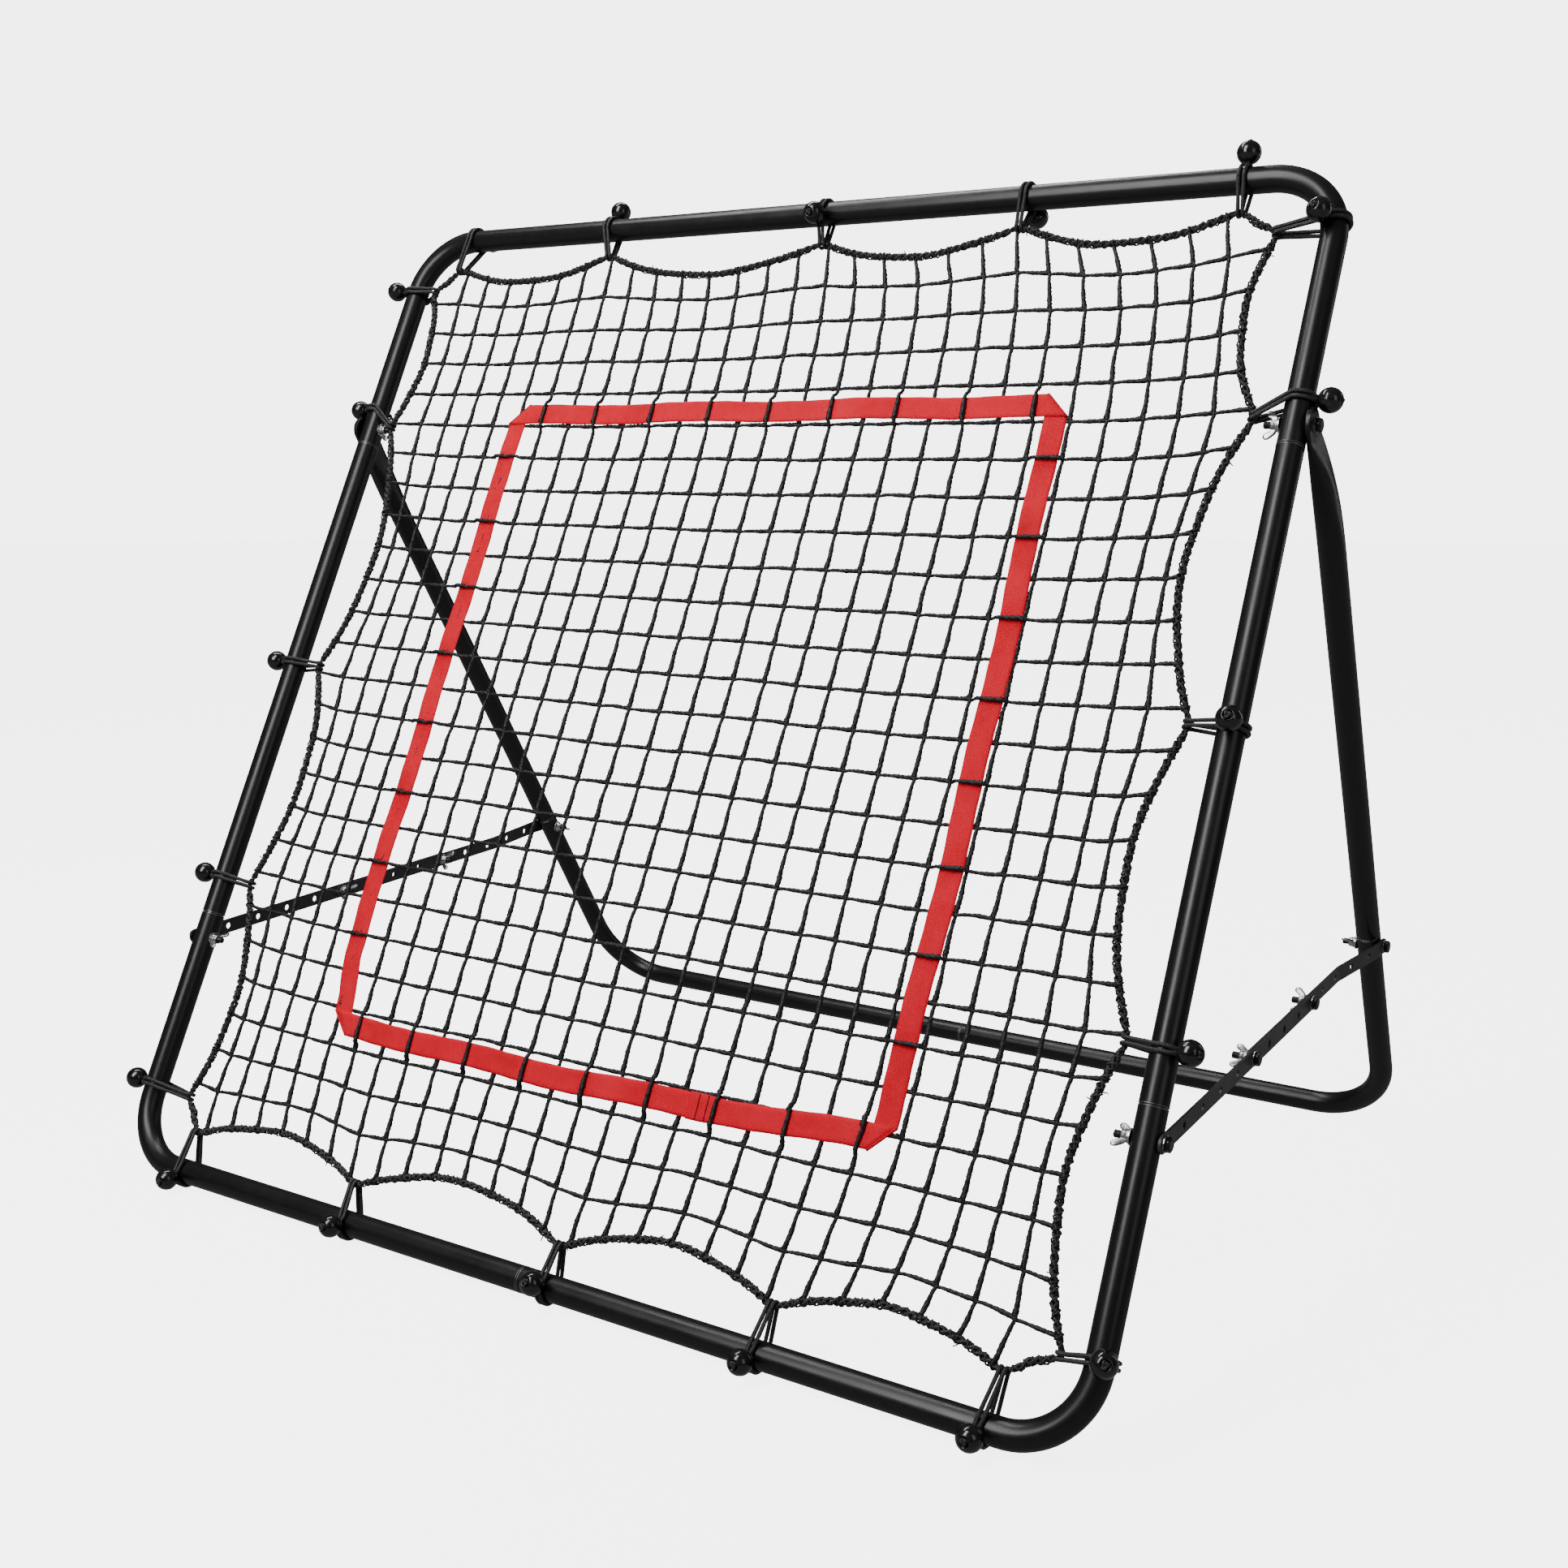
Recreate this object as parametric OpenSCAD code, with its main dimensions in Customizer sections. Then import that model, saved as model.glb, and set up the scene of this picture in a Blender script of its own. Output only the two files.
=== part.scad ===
// Pitching target net: a tilted tube frame with a knotted net held by ball bungees, a red strike
// zone strap, and a folding rear stand whose angle is set by two-piece perforated side braces.
// X is across the net and the net faces -Y. It stands on Z = 0, on the stand's bar at the back
// and on the bungee cords round its bottom bar at the front.

/* [Front frame] */
// Outer width of the front frame
frame_w = 1000; // [900:10:1100]
// Outer height of the front frame, measured along its slope
frame_h = 1016; // [960:2:1060]
// Outside diameter of every tube
tube_d = 22; // [20:0.5:25]
// Wall thickness of the tubes
tube_wall = 1.2; // [1:0.1:1.5]
// Radius of the frame's corner bends, at the tube's centre line
frame_bend_r = 60; // [50:1:80]
// Lean of the front frame from upright
frame_tilt = 27.5; // [20:0.5:32]
// Height of the lower tube joints along the side, above the bottom bar
joint_low = 241; // [230:1:250]
// Height of the upper tube joints along the side, above the bottom bar
joint_high = 753; // [740:1:755]

/* [Rear stand] */
// Height of the stand's pivot bolts along the side, above the bottom bar
pivot_at = 772; // [770:1:790]
// Distance of the leg's centre line outboard of the side tube, at the pivot
leg_out_top = 19.3; // [19:0.1:22]
// Distance of the leg's centre line outboard of the side tube, at the floor
leg_out_foot = 6; // [4:0.5:8]
// Radius of the stand's corner bends, at the tube's centre line
stand_bend_r = 75; // [60:1:90]
// Distance of the leg's tube joint from the pivot
leg_joint = 541; // [530:1:545]
// Place of the tube joint in the stand's cross bar, from the middle
base_joint = 12; // [0:1:20]
// Width of the leg's flattened end
tab_w = 27; // [26:0.5:30]
// Thickness of the leg's flattened end
tab_t = 4.6; // [4:0.1:5]
// Length of the flat from the pivot bolt to where the tube begins to round out
tab_len = 20; // [18:1:24]
// Distance from the pivot bolt at which the leg is fully round
tab_round = 74; // [65:1:80]

/* [Braces] */
// Distance from the pivot to either end bolt of the brace
brace_arm = 555; // [550:1:560]
// Spacing of the holes
hole_pitch = 38.5; // [38:0.1:39]
// Number of holes in each strap
holes = 10; // [10:1:10]
// Hole spacings between the two end bolts at this setting
pitches_set = 14; // [14:1:14]
// Height of the straps
strap_h = 14; // [14:0.5:16]
// Thickness of the straps
strap_t = 2; // [1.6:0.1:2.2]
// Length of strap beyond its end holes
strap_end = 9; // [8:0.5:10]

/* [Fasteners] */
// Bolt diameter
bolt_d = 6; // [6:1:6]
// Radial play of the bolts in the holes that turn on them
running_play = 0.08; // [0.05:0.01:0.1]
// Width across the flats of the bolt heads
head_af = 10; // [9:0.5:10]
// Height of the bolt heads
head_h = 4; // [3.5:0.5:4]
// Washer diameter
washer_d = 12.5; // [12:0.5:13]
// Washer thickness
washer_t = 1.2; // [1:0.1:1.4]
// Tip to tip width of the wing nuts
wing_span = 24; // [22:1:24]
// Bolt length showing beyond the wing nut's seat
bolt_tail = 12; // [11:1:13]

/* [Net] */
// Cell size of the net
mesh = 34.2; // [30:0.1:40]
// Width and thickness of the net's cord in the solid
cord_w = 2.4; // [2:0.1:3]
// Thickness of the rope round the net's edge
rope_d = 7; // [6:0.5:8]
// Distance of the edge rope from the tube's centre line where a bungee holds it
rope_inset = 30; // [28:1:32]
// Depth of the inward curve of the rope between two bungees, as a share of their spacing
rope_sag = 0.12; // [0.1:0.01:0.14]
// Width of the red webbing
webbing_w = 21; // [18:1:25]
// Width of the target, between the middles of the webbing
target_w = 582; // [500:2:620]
// Height of the target, between the middles of the webbing
target_h = 624; // [500:2:660]
// Height of the target's lower side above the bottom bar
target_low = 166; // [150:1:180]
// Size of the folded corners of the webbing
target_fold = 14; // [12:1:20]

/* [Bungees] */
// Ball diameter
ball_d = 20; // [18:1:22]
// Diameter of the elastic cord
elastic_d = 3.6; // [3:0.1:4]
// Spacing of the two strands of a bungee
elastic_gap = 5; // [4:0.1:5.5]

/* [Hidden] */
// Places of the bungees along each side, from the frame's middle (top, bottom) or the bottom bar.
// The last one on the right sits on the tube's bend.
bungees_top = [-427, -245, 7, 213, 407];
bungees_bottom = [-412, -199, 26, 228, 417];
bungees_left = [70, 279, 507, 793, 932];
bungees_right = [64, 281, 524, 793, 949];
// Where each ball sits round its tube: 0 is the front, 90 the outside, 180 the back
balls_top = [150, 96, -29, 190, 75];
balls_bottom = [25, 11, -3, 17, 19];
balls_left = [74, 72, 78, 80, 66];
balls_right = [25, 66, 10, 90, -17];

r = tube_d / 2;
gap = 0.2;                                  // play between faces that slide on each other
front_z = r + gap + elastic_d;              // the bottom bar stands on the bungees wrapped round it
half_w = frame_w / 2 - r;                   // side tube's centre line from the middle
height = frame_h - tube_d;                  // top bar's centre line above the bottom bar's
bore_r = r - tube_wall;
neck_r = bore_r - 0.1;                      // reduced tube end inside the next tube
neck_len = 32;
neck_root = 4;                              // solid step between a tube's bore and its neck
seam = 0.8;                                 // open ring between two tube ends
shank_r = bolt_d / 2;
turn_r = shank_r + running_play;            // holes that turn on a bolt
clear_r = shank_r + 0.2;                    // holes that only hold a bolt

// The brace and the two arms to the pivot form a triangle with two equal sides.
open_angle = 2 * asin(pitches_set * hole_pitch / 2 / brace_arm);
leg_tilt = open_angle - frame_tilt;
brace_tilt = open_angle / 2 - frame_tilt;
front_bolt_at = pivot_at - brace_arm;
pivot_y = pivot_at * sin(frame_tilt);
pivot_z = front_z + pivot_at * cos(frame_tilt);
leg_len = (pivot_z - r) / cos(leg_tilt);
toe = atan((leg_out_top - leg_out_foot) / leg_len);
front_edge = -32.6;                         // foremost ball, from the bottom bar
back_edge = pivot_y + leg_len * sin(leg_tilt) + r;
origin_y = -(front_edge + back_edge) / 2;   // puts the origin under the middle of the whole

// Stacks across X, measured outboard of the side tube's centre line
tab_x = r + gap;
front_strap_x = r + gap;
overlap_x = r - strap_t;
rear_end_x = leg_out_top - brace_arm * tan(toe) + r + 0.35;
leg_inner_x = leg_out_top - brace_arm * tan(toe) - r;
nut_stand_off = 0.1;
bend_start = (pitches_set - 2.7) * hole_pitch;
bend_end = (pitches_set - 0.4) * hole_pitch;
clamp_spots = [pitches_set - holes + 1, holes - 1];

$fn = 48;

// ---- Places ----

// X across, Y to the back of the net's plane, Z up the frame's slope from the bottom bar
module on_frame() { translate([0, origin_y, front_z]) rotate([-frame_tilt, 0, 0]) children(); }

// X across, Z up along the legs, with the pivot at the origin
module on_stand() { translate([0, origin_y + pivot_y, pivot_z]) rotate([leg_tilt, 0, 0]) children(); }

// Y along the brace from its front bolt, Z up across it
module on_brace() {
    on_frame() translate([0, 0, front_bolt_at]) rotate([frame_tilt + brace_tilt, 0, 0]) children();
}

// side is 1 on the right and -1 on the left
module outboard(side) { scale_x(side) translate([half_w, 0, 0]) children(); }
module scale_x(side) { if (side > 0) children(); else mirror([1, 0, 0]) children(); }
module along_x(x) { translate([x, 0, 0]) rotate([0, 90, 0]) children(); }

// ---- Tubes ----

// Tube along Z, with a reduced neck at its top if it has one
module straight_tube(len, neck_top = false, neck_bottom = false) {
    low = neck_bottom ? neck_root : -1;
    high = neck_top ? len - neck_root : len + 1;
    difference() {
        union() {
            cylinder(h = len, r = r);
            if (neck_top) cylinder(h = len + neck_len, r = neck_r);
            if (neck_bottom) translate([0, 0, -neck_len]) cylinder(h = neck_len + 1, r = neck_r);
        }
        translate([0, 0, -neck_len - 1]) cylinder(h = len + 2 * neck_len + 2, r = neck_r - tube_wall);
        translate([0, 0, low]) cylinder(h = high - low, r = bore_r);
    }
}

// Tube bent in the XZ plane: from up the leg at an angle "lean" off Z, round to inwards along -X.
// The sharp corner of its centre line is the origin.
module bent_tube(up_len, bar_len, bend_r, lean, neck_bar) {
    turn = 90 - lean;
    tangent = bend_r * tan(turn / 2);
    module run(radius, up, bar) {
        rotate([0, lean, 0]) translate([0, 0, tangent]) cylinder(h = up - tangent, r = radius);
        translate([-tangent, 0, 0]) rotate([0, -90, 0]) cylinder(h = bar - tangent, r = radius);
        translate([-tangent, 0, bend_r]) rotate([90, 0, 0]) rotate([0, 0, -90])
            rotate_extrude(angle = turn, $fn = 96) translate([bend_r, 0]) circle(r = radius);
    }
    difference() {
        union() {
            run(r, up_len, bar_len);
            if (neck_bar) translate([-bar_len + 1, 0, 0]) rotate([0, -90, 0])
                cylinder(h = neck_len + 1, r = neck_r);
        }
        run(bore_r, up_len + 1, neck_bar ? bar_len - neck_root : bar_len + 1);
        if (neck_bar) translate([-bar_len + neck_root + 1, 0, 0]) rotate([0, -90, 0])
            cylinder(h = neck_len + neck_root + 2, r = neck_r - tube_wall);
    }
}

// ---- Fasteners, all along X with the head outboard ----

// Hex bolt whose head seats at x = 0 and whose shank runs inboard
module hex_bolt(len) {
    rotate([0, 90, 0]) {
        cylinder(h = head_h, d = head_af / cos(30), $fn = 6);
        translate([0, 0, -len]) cylinder(h = len + 1, r = shank_r);
    }
}

// Washer from x = 0 outboard
module washer() {
    rotate([0, 90, 0]) difference() {
        cylinder(h = washer_t, d = washer_d);
        translate([0, 0, -1]) cylinder(h = washer_t + 2, r = turn_r);
    }
}

// Wing nut whose seat is at x = 0 and whose wings rise inboard, turned about X
module wing_nut(angle) {
    boss_r = 5;
    wing_t = 2.2;
    tip_r = 3;
    rotate([angle, 0, 0]) rotate([0, -90, 0]) difference() {
        union() {
            cylinder(h = 6, r = boss_r);
            for (s = [-1, 1]) translate([0, wing_t / 2, 0]) rotate([90, 0, 0]) linear_extrude(wing_t) {
                polygon([[s * 3.5, 0.4], [s * 6.5, 0.4], [s * (wing_span / 2), 7.4],
                         [s * (wing_span / 2 - 5.4), 9.6], [s * 3.5, 5.8]]);
                translate([s * (wing_span / 2 - tip_r), 8.2]) circle(r = tip_r);
            }
        }
        translate([0, 0, -1]) cylinder(h = 14, r = turn_r);
    }
}

// ---- Net ----

// How far a place up a side tube lies round the tube's top bend, and the point "inset" inside it
function bend_turn(place) = max(0, place - (height - frame_bend_r)) / frame_bend_r * 180 / PI;
function side_point(place, inset) = let (turn = bend_turn(place), reach = frame_bend_r - inset)
    [half_w - frame_bend_r + reach * cos(turn), min(place, height - frame_bend_r) + reach * sin(turn)];
function side_spots(places, side) =
    side == "top" ? [for (p = places) [p, height - rope_inset]]
    : side == "bottom" ? [for (p = places) [p, rope_inset]]
    : side == "left" ? [for (p = places) let (at = side_point(p, rope_inset)) [-at[0], at[1]]]
    : [for (p = places) side_point(p, rope_inset)];
function reversed(list) = [for (i = [len(list) - 1:-1:0]) list[i]];
rope_spots = concat(side_spots(bungees_top, "top"), reversed(side_spots(bungees_right, "right")),
                    reversed(side_spots(bungees_bottom, "bottom")), side_spots(bungees_left, "left"));
rope_steps = 8;
// Point on the rope between two bungees: a parabola that hangs towards the net's middle
function rope_point(a, b, t) =
    let (span = norm(b - a), inward = [b[1] - a[1], a[0] - b[0]] / span)
    a + (b - a) * t + inward * (4 * rope_sag * (span > 90 ? 1 : 0.4) * span * t * (1 - t));
function rope_line() = [for (i = [0:len(rope_spots) - 1], k = [0:rope_steps - 1])
    rope_point(rope_spots[i], rope_spots[(i + 1) % len(rope_spots)], k / rope_steps)];
// The same line moved sideways in the net's plane
function shifted(line, by) = [for (i = [0:len(line) - 1])
    let (a = line[(i + len(line) - 1) % len(line)], b = line[(i + 1) % len(line)],
         dir = (b - a) / norm(b - a))
    line[i] + [-dir[1], dir[0]] * by];

// A flat outline in the net's plane becomes a plate of thickness t, its front face at "front"
module plate(t, front) {
    translate([0, -front, 0]) rotate([90, 0, 0]) mirror([0, 0, 1]) linear_extrude(t) children();
}

module net() {
    columns = floor(half_w / mesh);
    rows = floor(height / mesh);
    loop_room = rope_d / 2 + elastic_d + 1.8;
    color("#1b1b1c") on_frame() plate(cord_w, cord_w / 2) difference() {
        intersection() {
            union() {
                for (i = [-columns:columns]) translate([(i - 0.5) * mesh - cord_w / 2, 0])
                    square([cord_w, height]);
                for (k = [2:rows - 2])
                    translate([-half_w, height / 2 + (k - rows / 2) * mesh - cord_w / 2])
                        square([2 * half_w, cord_w]);
            }
            polygon(shifted(rope_line(), -rope_d / 2));
        }
        for (spot = rope_spots) translate(spot) circle(r = loop_room);
    }
}

module net_edge_rope() {
    color("#161617") on_frame() plate(rope_d, rope_d / 2) difference() {
        polygon(shifted(rope_line(), rope_d / 2));
        polygon(shifted(rope_line(), -rope_d / 2));
    }
}

module target_strap() {
    module outline(grow) {
        w = target_w / 2 + grow;
        low = target_low - grow;
        high = target_low + target_h + grow;
        c = target_fold + grow * 0.6;
        polygon([[-w + c, low], [w - c, low], [w, low + c], [w, high - c],
                 [w - c, high], [-w + c, high], [-w, high - c], [-w, low + c]]);
    }
    color("#e8323c") on_frame() plate(1.2, cord_w / 2 + 0.1 + 1.2) difference() {
        outline(webbing_w / 2);
        outline(-webbing_w / 2);
    }
}

// ---- Bungees: drawn for a tube along Z whose outside is +X and whose front is -Y ----

module bungee_ball(angle) {
    reach = r + ball_d / 2 + 2.4;
    translate([reach * sin(angle), -reach * cos(angle), 0]) sphere(d = ball_d);
}

module bungee_loop() {
    module wrap(grow) {
        hull() {
            circle(r = r + gap + grow, $fn = 24);
            translate([-rope_inset, 0]) circle(r = rope_d / 2 + grow, $fn = 16);
        }
    }
    for (s = [-1, 1]) translate([0, 0, s * elastic_gap / 2 - 2]) linear_extrude(4) difference() {
        wrap(elastic_d);
        wrap(0);
    }
}

// Puts a child at each bungee of a side, turned so that its +X is that side's outside
module at_bungees(side, places) {
    on_frame() for (i = [0:len(places) - 1]) {
        $which = i;
        if (side == "right" || side == "left") scale_x(side == "right" ? 1 : -1) {
            at = side_point(places[i], 0);
            translate([at[0], 0, at[1]]) rotate([0, -bend_turn(places[i]), 0]) children();
        }
        if (side == "top") translate([places[i], 0, height]) rotate([0, -90, 0]) children();
        if (side == "bottom") translate([places[i], 0, 0]) rotate([0, 90, 0]) children();
    }
}

module balls(side, places, angles) {
    color("#0c0c0d") at_bungees(side, places) bungee_ball(angles[$which]);
}
module loops(side, places) { color("#141415") at_bungees(side, places) bungee_loop(); }

module bungee_balls_top() { balls("top", bungees_top, balls_top); }
module bungee_balls_right() { balls("right", bungees_right, balls_right); }
module bungee_balls_bottom() { balls("bottom", bungees_bottom, balls_bottom); }
module bungee_balls_left() { balls("left", bungees_left, balls_left); }
module bungee_cords_top() { loops("top", bungees_top); }
module bungee_cords_right() { loops("right", bungees_right); }
module bungee_cords_bottom() { loops("bottom", bungees_bottom); }
module bungee_cords_left() { loops("left", bungees_left); }

// ---- Front frame ----

// One corner of the frame: side is 1 or -1, top is true or false
module frame_corner(side, top) {
    up_len = top ? height - joint_high - seam / 2 : joint_low - seam / 2;
    color("#1a1a1c") on_frame() scale_x(side) difference() {
        translate([half_w, 0, top ? height : 0]) mirror([0, 0, top ? 1 : 0])
            bent_tube(up_len, half_w - seam / 2, frame_bend_r, 0, side > 0);
        if (top) translate([half_w, 0, pivot_at]) along_x(-2 * r) cylinder(h = 4 * r, r = clear_r);
        else translate([half_w, 0, front_bolt_at]) along_x(-2 * r) cylinder(h = 4 * r, r = clear_r);
    }
}
module frame_corner_top_left() { frame_corner(-1, true); }
module frame_corner_top_right() { frame_corner(1, true); }
module frame_corner_bottom_left() { frame_corner(-1, false); }
module frame_corner_bottom_right() { frame_corner(1, false); }

module frame_side(side) {
    color("#1a1a1c") on_frame() scale_x(side) difference() {
        translate([half_w, 0, joint_low + seam / 2])
            straight_tube(joint_high - joint_low - seam, true, true);
        for (z = [front_bolt_at, pivot_at]) translate([half_w, 0, z])
            along_x(-2 * r) cylinder(h = 4 * r, r = clear_r);
    }
}
module frame_side_left() { frame_side(-1); }
module frame_side_right() { frame_side(1); }

module pivot_bolts() {
    seat = tab_x + tab_t + nut_stand_off + washer_t;
    color("#2a2a2c") on_stand() for (s = [-1, 1]) outboard(s)
        translate([seat, 0, 0]) hex_bolt(seat + r + washer_t + bolt_tail);
}
module pivot_washers() {
    color("#c9cbce") on_stand() for (s = [-1, 1]) outboard(s) {
        translate([tab_x + tab_t + nut_stand_off, 0, 0]) washer();
        translate([-r - washer_t - 0.05, 0, 0]) washer();
    }
}
module front_brace_bolts() {
    seat = front_strap_x + strap_t + nut_stand_off + washer_t;
    color("#2a2a2c") on_brace() for (s = [-1, 1]) outboard(s)
        translate([seat, 0, 0]) hex_bolt(seat + r + washer_t + bolt_tail);
}
module front_brace_washers() {
    color("#c9cbce") on_brace() for (s = [-1, 1]) outboard(s) {
        translate([front_strap_x + strap_t + nut_stand_off, 0, 0]) washer();
        translate([-r - washer_t - 0.05, 0, 0]) washer();
    }
}

// ---- Rear stand ----

module rear_bolt_hole() {
    translate([0, 0, -brace_arm]) along_x(-2 * r) cylinder(h = 6 * r, r = clear_r);
}

module stand_leg(side) {
    foot_x = leg_out_top - leg_joint * tan(toe);
    color("#1a1a1c") on_stand() outboard(side) difference() {
        union() {
            translate([foot_x, 0, -leg_joint + seam / 2]) rotate([0, toe, 0])
                straight_tube(leg_joint - tab_round - seam / 2, false, true);
            hull() {
                translate([leg_out_top - tab_round * tan(toe), 0, -tab_round]) rotate([0, toe, 0])
                    translate([0, 0, -0.3]) cylinder(h = 1, r = r + 0.15, $fn = 32);
                translate([tab_x, -tab_w / 2, -tab_len]) cube([tab_t, tab_w, 0.5]);
            }
            translate([tab_x, -tab_w / 2, -tab_len]) cube([tab_t, tab_w, tab_len]);
            along_x(tab_x) cylinder(h = tab_t, d = tab_w);
        }
        along_x(tab_x - 1) cylinder(h = tab_t + 2, r = turn_r);
        rear_bolt_hole();
    }
}
module stand_leg_left() { stand_leg(-1); }
module stand_leg_right() { stand_leg(1); }

module stand_corner(side) {
    color("#1a1a1c") on_stand() outboard(side) difference() {
        translate([leg_out_foot, 0, -leg_len])
            bent_tube((leg_len - leg_joint - seam / 2) / cos(toe),
                      half_w + leg_out_foot - seam / 2 - side * base_joint,
                      stand_bend_r, toe, side > 0);
        rear_bolt_hole();
    }
}
module stand_corner_left() { stand_corner(-1); }
module stand_corner_right() { stand_corner(1); }

module rear_brace_bolts() {
    seat = rear_end_x + strap_t + nut_stand_off + washer_t;
    color("#2a2a2c") on_brace() translate([0, pitches_set * hole_pitch, 0]) for (s = [-1, 1]) outboard(s)
        translate([seat, 0, 0]) hex_bolt(seat - leg_inner_x + 0.3 + washer_t + bolt_tail);
}
module rear_brace_washers() {
    color("#c9cbce") on_brace() translate([0, pitches_set * hole_pitch, 0]) for (s = [-1, 1]) outboard(s) {
        translate([rear_end_x + strap_t + nut_stand_off, 0, 0]) washer();
        translate([leg_inner_x - 0.3 - washer_t, 0, 0]) washer();
    }
}

// ---- Braces ----

// Side outline of a strap with round ends, thick enough across X to cut any of them
module strap_outline(from, to) {
    translate([0, from, -strap_h / 2]) cube([60, to - from, strap_h]);
    for (y = [from, to]) translate([0, y, 0]) along_x(0) cylinder(h = 60, d = strap_h);
}

module front_strap(side) {
    last = (holes - 1) * hole_pitch;
    inset = strap_h / 2 - strap_end;
    color("#4b4d50") on_brace() outboard(side) difference() {
        intersection() {
            translate([front_strap_x, -strap_h, -strap_h]) cube([strap_t, last + 2 * strap_h, 2 * strap_h]);
            strap_outline(inset, last - inset);
        }
        for (i = [0:holes - 1]) translate([0, i * hole_pitch, 0]) along_x(0) cylinder(h = 40, r = turn_r);
    }
}
module front_strap_left() { front_strap(-1); }
module front_strap_right() { front_strap(1); }

// The rear strap runs inside the front one and bends out to the leg's outer side
module rear_strap(side) {
    first = (pitches_set - holes + 1) * hole_pitch;
    last = pitches_set * hole_pitch;
    inset = strap_h / 2 - strap_end;
    color("#4b4d50") on_brace() outboard(side) difference() {
        intersection() {
            translate([0, 0, -strap_h]) linear_extrude(2 * strap_h) polygon([
                [overlap_x, first - strap_h], [overlap_x + strap_t, first - strap_h],
                [overlap_x + strap_t, bend_start], [rear_end_x + strap_t, bend_end],
                [rear_end_x + strap_t, last + strap_h], [rear_end_x, last + strap_h],
                [rear_end_x, bend_end], [overlap_x, bend_start]]);
            strap_outline(first + inset, last - inset);
        }
        for (i = [0:holes - 1]) translate([0, last - i * hole_pitch, 0]) along_x(0)
            cylinder(h = 40, r = turn_r);
    }
}
module rear_strap_left() { rear_strap(-1); }
module rear_strap_right() { rear_strap(1); }

// The clamp bolts are parted between the two straps, so that the brace can change its length
module clamp_bolts(side) {
    seat = front_strap_x + strap_t + nut_stand_off + washer_t;
    color("#2a2a2c") on_brace() for (k = clamp_spots) translate([0, k * hole_pitch, 0]) outboard(side)
        translate([seat, 0, 0]) hex_bolt(seat - front_strap_x);
}
module clamp_bolts_left() { clamp_bolts(-1); }
module clamp_bolts_right() { clamp_bolts(1); }

module clamp_washers(side) {
    color("#c9cbce") on_brace() for (k = clamp_spots) translate([0, k * hole_pitch, 0]) outboard(side)
        translate([front_strap_x + strap_t + nut_stand_off, 0, 0]) washer();
}
module clamp_washers_left() { clamp_washers(-1); }
module clamp_washers_right() { clamp_washers(1); }

module clamp_studs(side) {
    color("#2a2a2c") on_brace() for (k = clamp_spots) translate([0, k * hole_pitch, 0]) outboard(side)
        along_x(overlap_x - washer_t - bolt_tail) cylinder(h = washer_t + bolt_tail + strap_t, r = shank_r);
}
module clamp_studs_left() { clamp_studs(-1); }
module clamp_studs_right() { clamp_studs(1); }

module clamp_inner_washers(side) {
    color("#c9cbce") on_brace() for (k = clamp_spots) translate([0, k * hole_pitch, 0]) outboard(side)
        translate([overlap_x - washer_t - 0.05, 0, 0]) washer();
}
module clamp_inner_washers_left() { clamp_inner_washers(-1); }
module clamp_inner_washers_right() { clamp_inner_washers(1); }

// ---- Wing nuts ----

module pivot_wing_nut(side) {
    color("#c9cbce") on_stand() outboard(side)
        translate([-r - washer_t - nut_stand_off, 0, 0]) wing_nut(35);
}
module pivot_wing_nut_left() { pivot_wing_nut(-1); }
module pivot_wing_nut_right() { pivot_wing_nut(1); }

module front_brace_wing_nut(side) {
    color("#c9cbce") on_brace() outboard(side)
        translate([-r - washer_t - nut_stand_off, 0, 0]) wing_nut(20);
}
module front_brace_wing_nut_left() { front_brace_wing_nut(-1); }
module front_brace_wing_nut_right() { front_brace_wing_nut(1); }

module rear_brace_wing_nut(side) {
    color("#c9cbce") on_brace() translate([0, pitches_set * hole_pitch, 0]) outboard(side)
        translate([leg_inner_x - 0.35 - washer_t, 0, 0]) wing_nut(-25);
}
module rear_brace_wing_nut_left() { rear_brace_wing_nut(-1); }
module rear_brace_wing_nut_right() { rear_brace_wing_nut(1); }

module clamp_wing_nut(side, which) {
    color("#c9cbce") on_brace() translate([0, clamp_spots[which] * hole_pitch, 0]) outboard(side)
        translate([overlap_x - washer_t - nut_stand_off, 0, 0]) wing_nut(which == 0 ? 30 : 50);
}
module clamp_wing_nut_left_1() { clamp_wing_nut(-1, 0); }
module clamp_wing_nut_left_2() { clamp_wing_nut(-1, 1); }
module clamp_wing_nut_right_1() { clamp_wing_nut(1, 0); }
module clamp_wing_nut_right_2() { clamp_wing_nut(1, 1); }

frame_corner_top_left();
frame_corner_top_right();
frame_corner_bottom_left();
frame_corner_bottom_right();
frame_side_left();
frame_side_right();
net();
net_edge_rope();
target_strap();
bungee_balls_top();
bungee_balls_right();
bungee_balls_bottom();
bungee_balls_left();
bungee_cords_top();
bungee_cords_right();
bungee_cords_bottom();
bungee_cords_left();
pivot_bolts();
pivot_washers();
front_brace_bolts();
front_brace_washers();
stand_leg_left();
stand_leg_right();
stand_corner_left();
stand_corner_right();
rear_brace_bolts();
rear_brace_washers();
front_strap_left();
front_strap_right();
clamp_bolts_left();
clamp_bolts_right();
clamp_washers_left();
clamp_washers_right();
rear_strap_left();
rear_strap_right();
clamp_studs_left();
clamp_studs_right();
clamp_inner_washers_left();
clamp_inner_washers_right();
pivot_wing_nut_left();
pivot_wing_nut_right();
front_brace_wing_nut_left();
front_brace_wing_nut_right();
rear_brace_wing_nut_left();
rear_brace_wing_nut_right();
clamp_wing_nut_left_1();
clamp_wing_nut_left_2();
clamp_wing_nut_right_1();
clamp_wing_nut_right_2();
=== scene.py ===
import math

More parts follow.
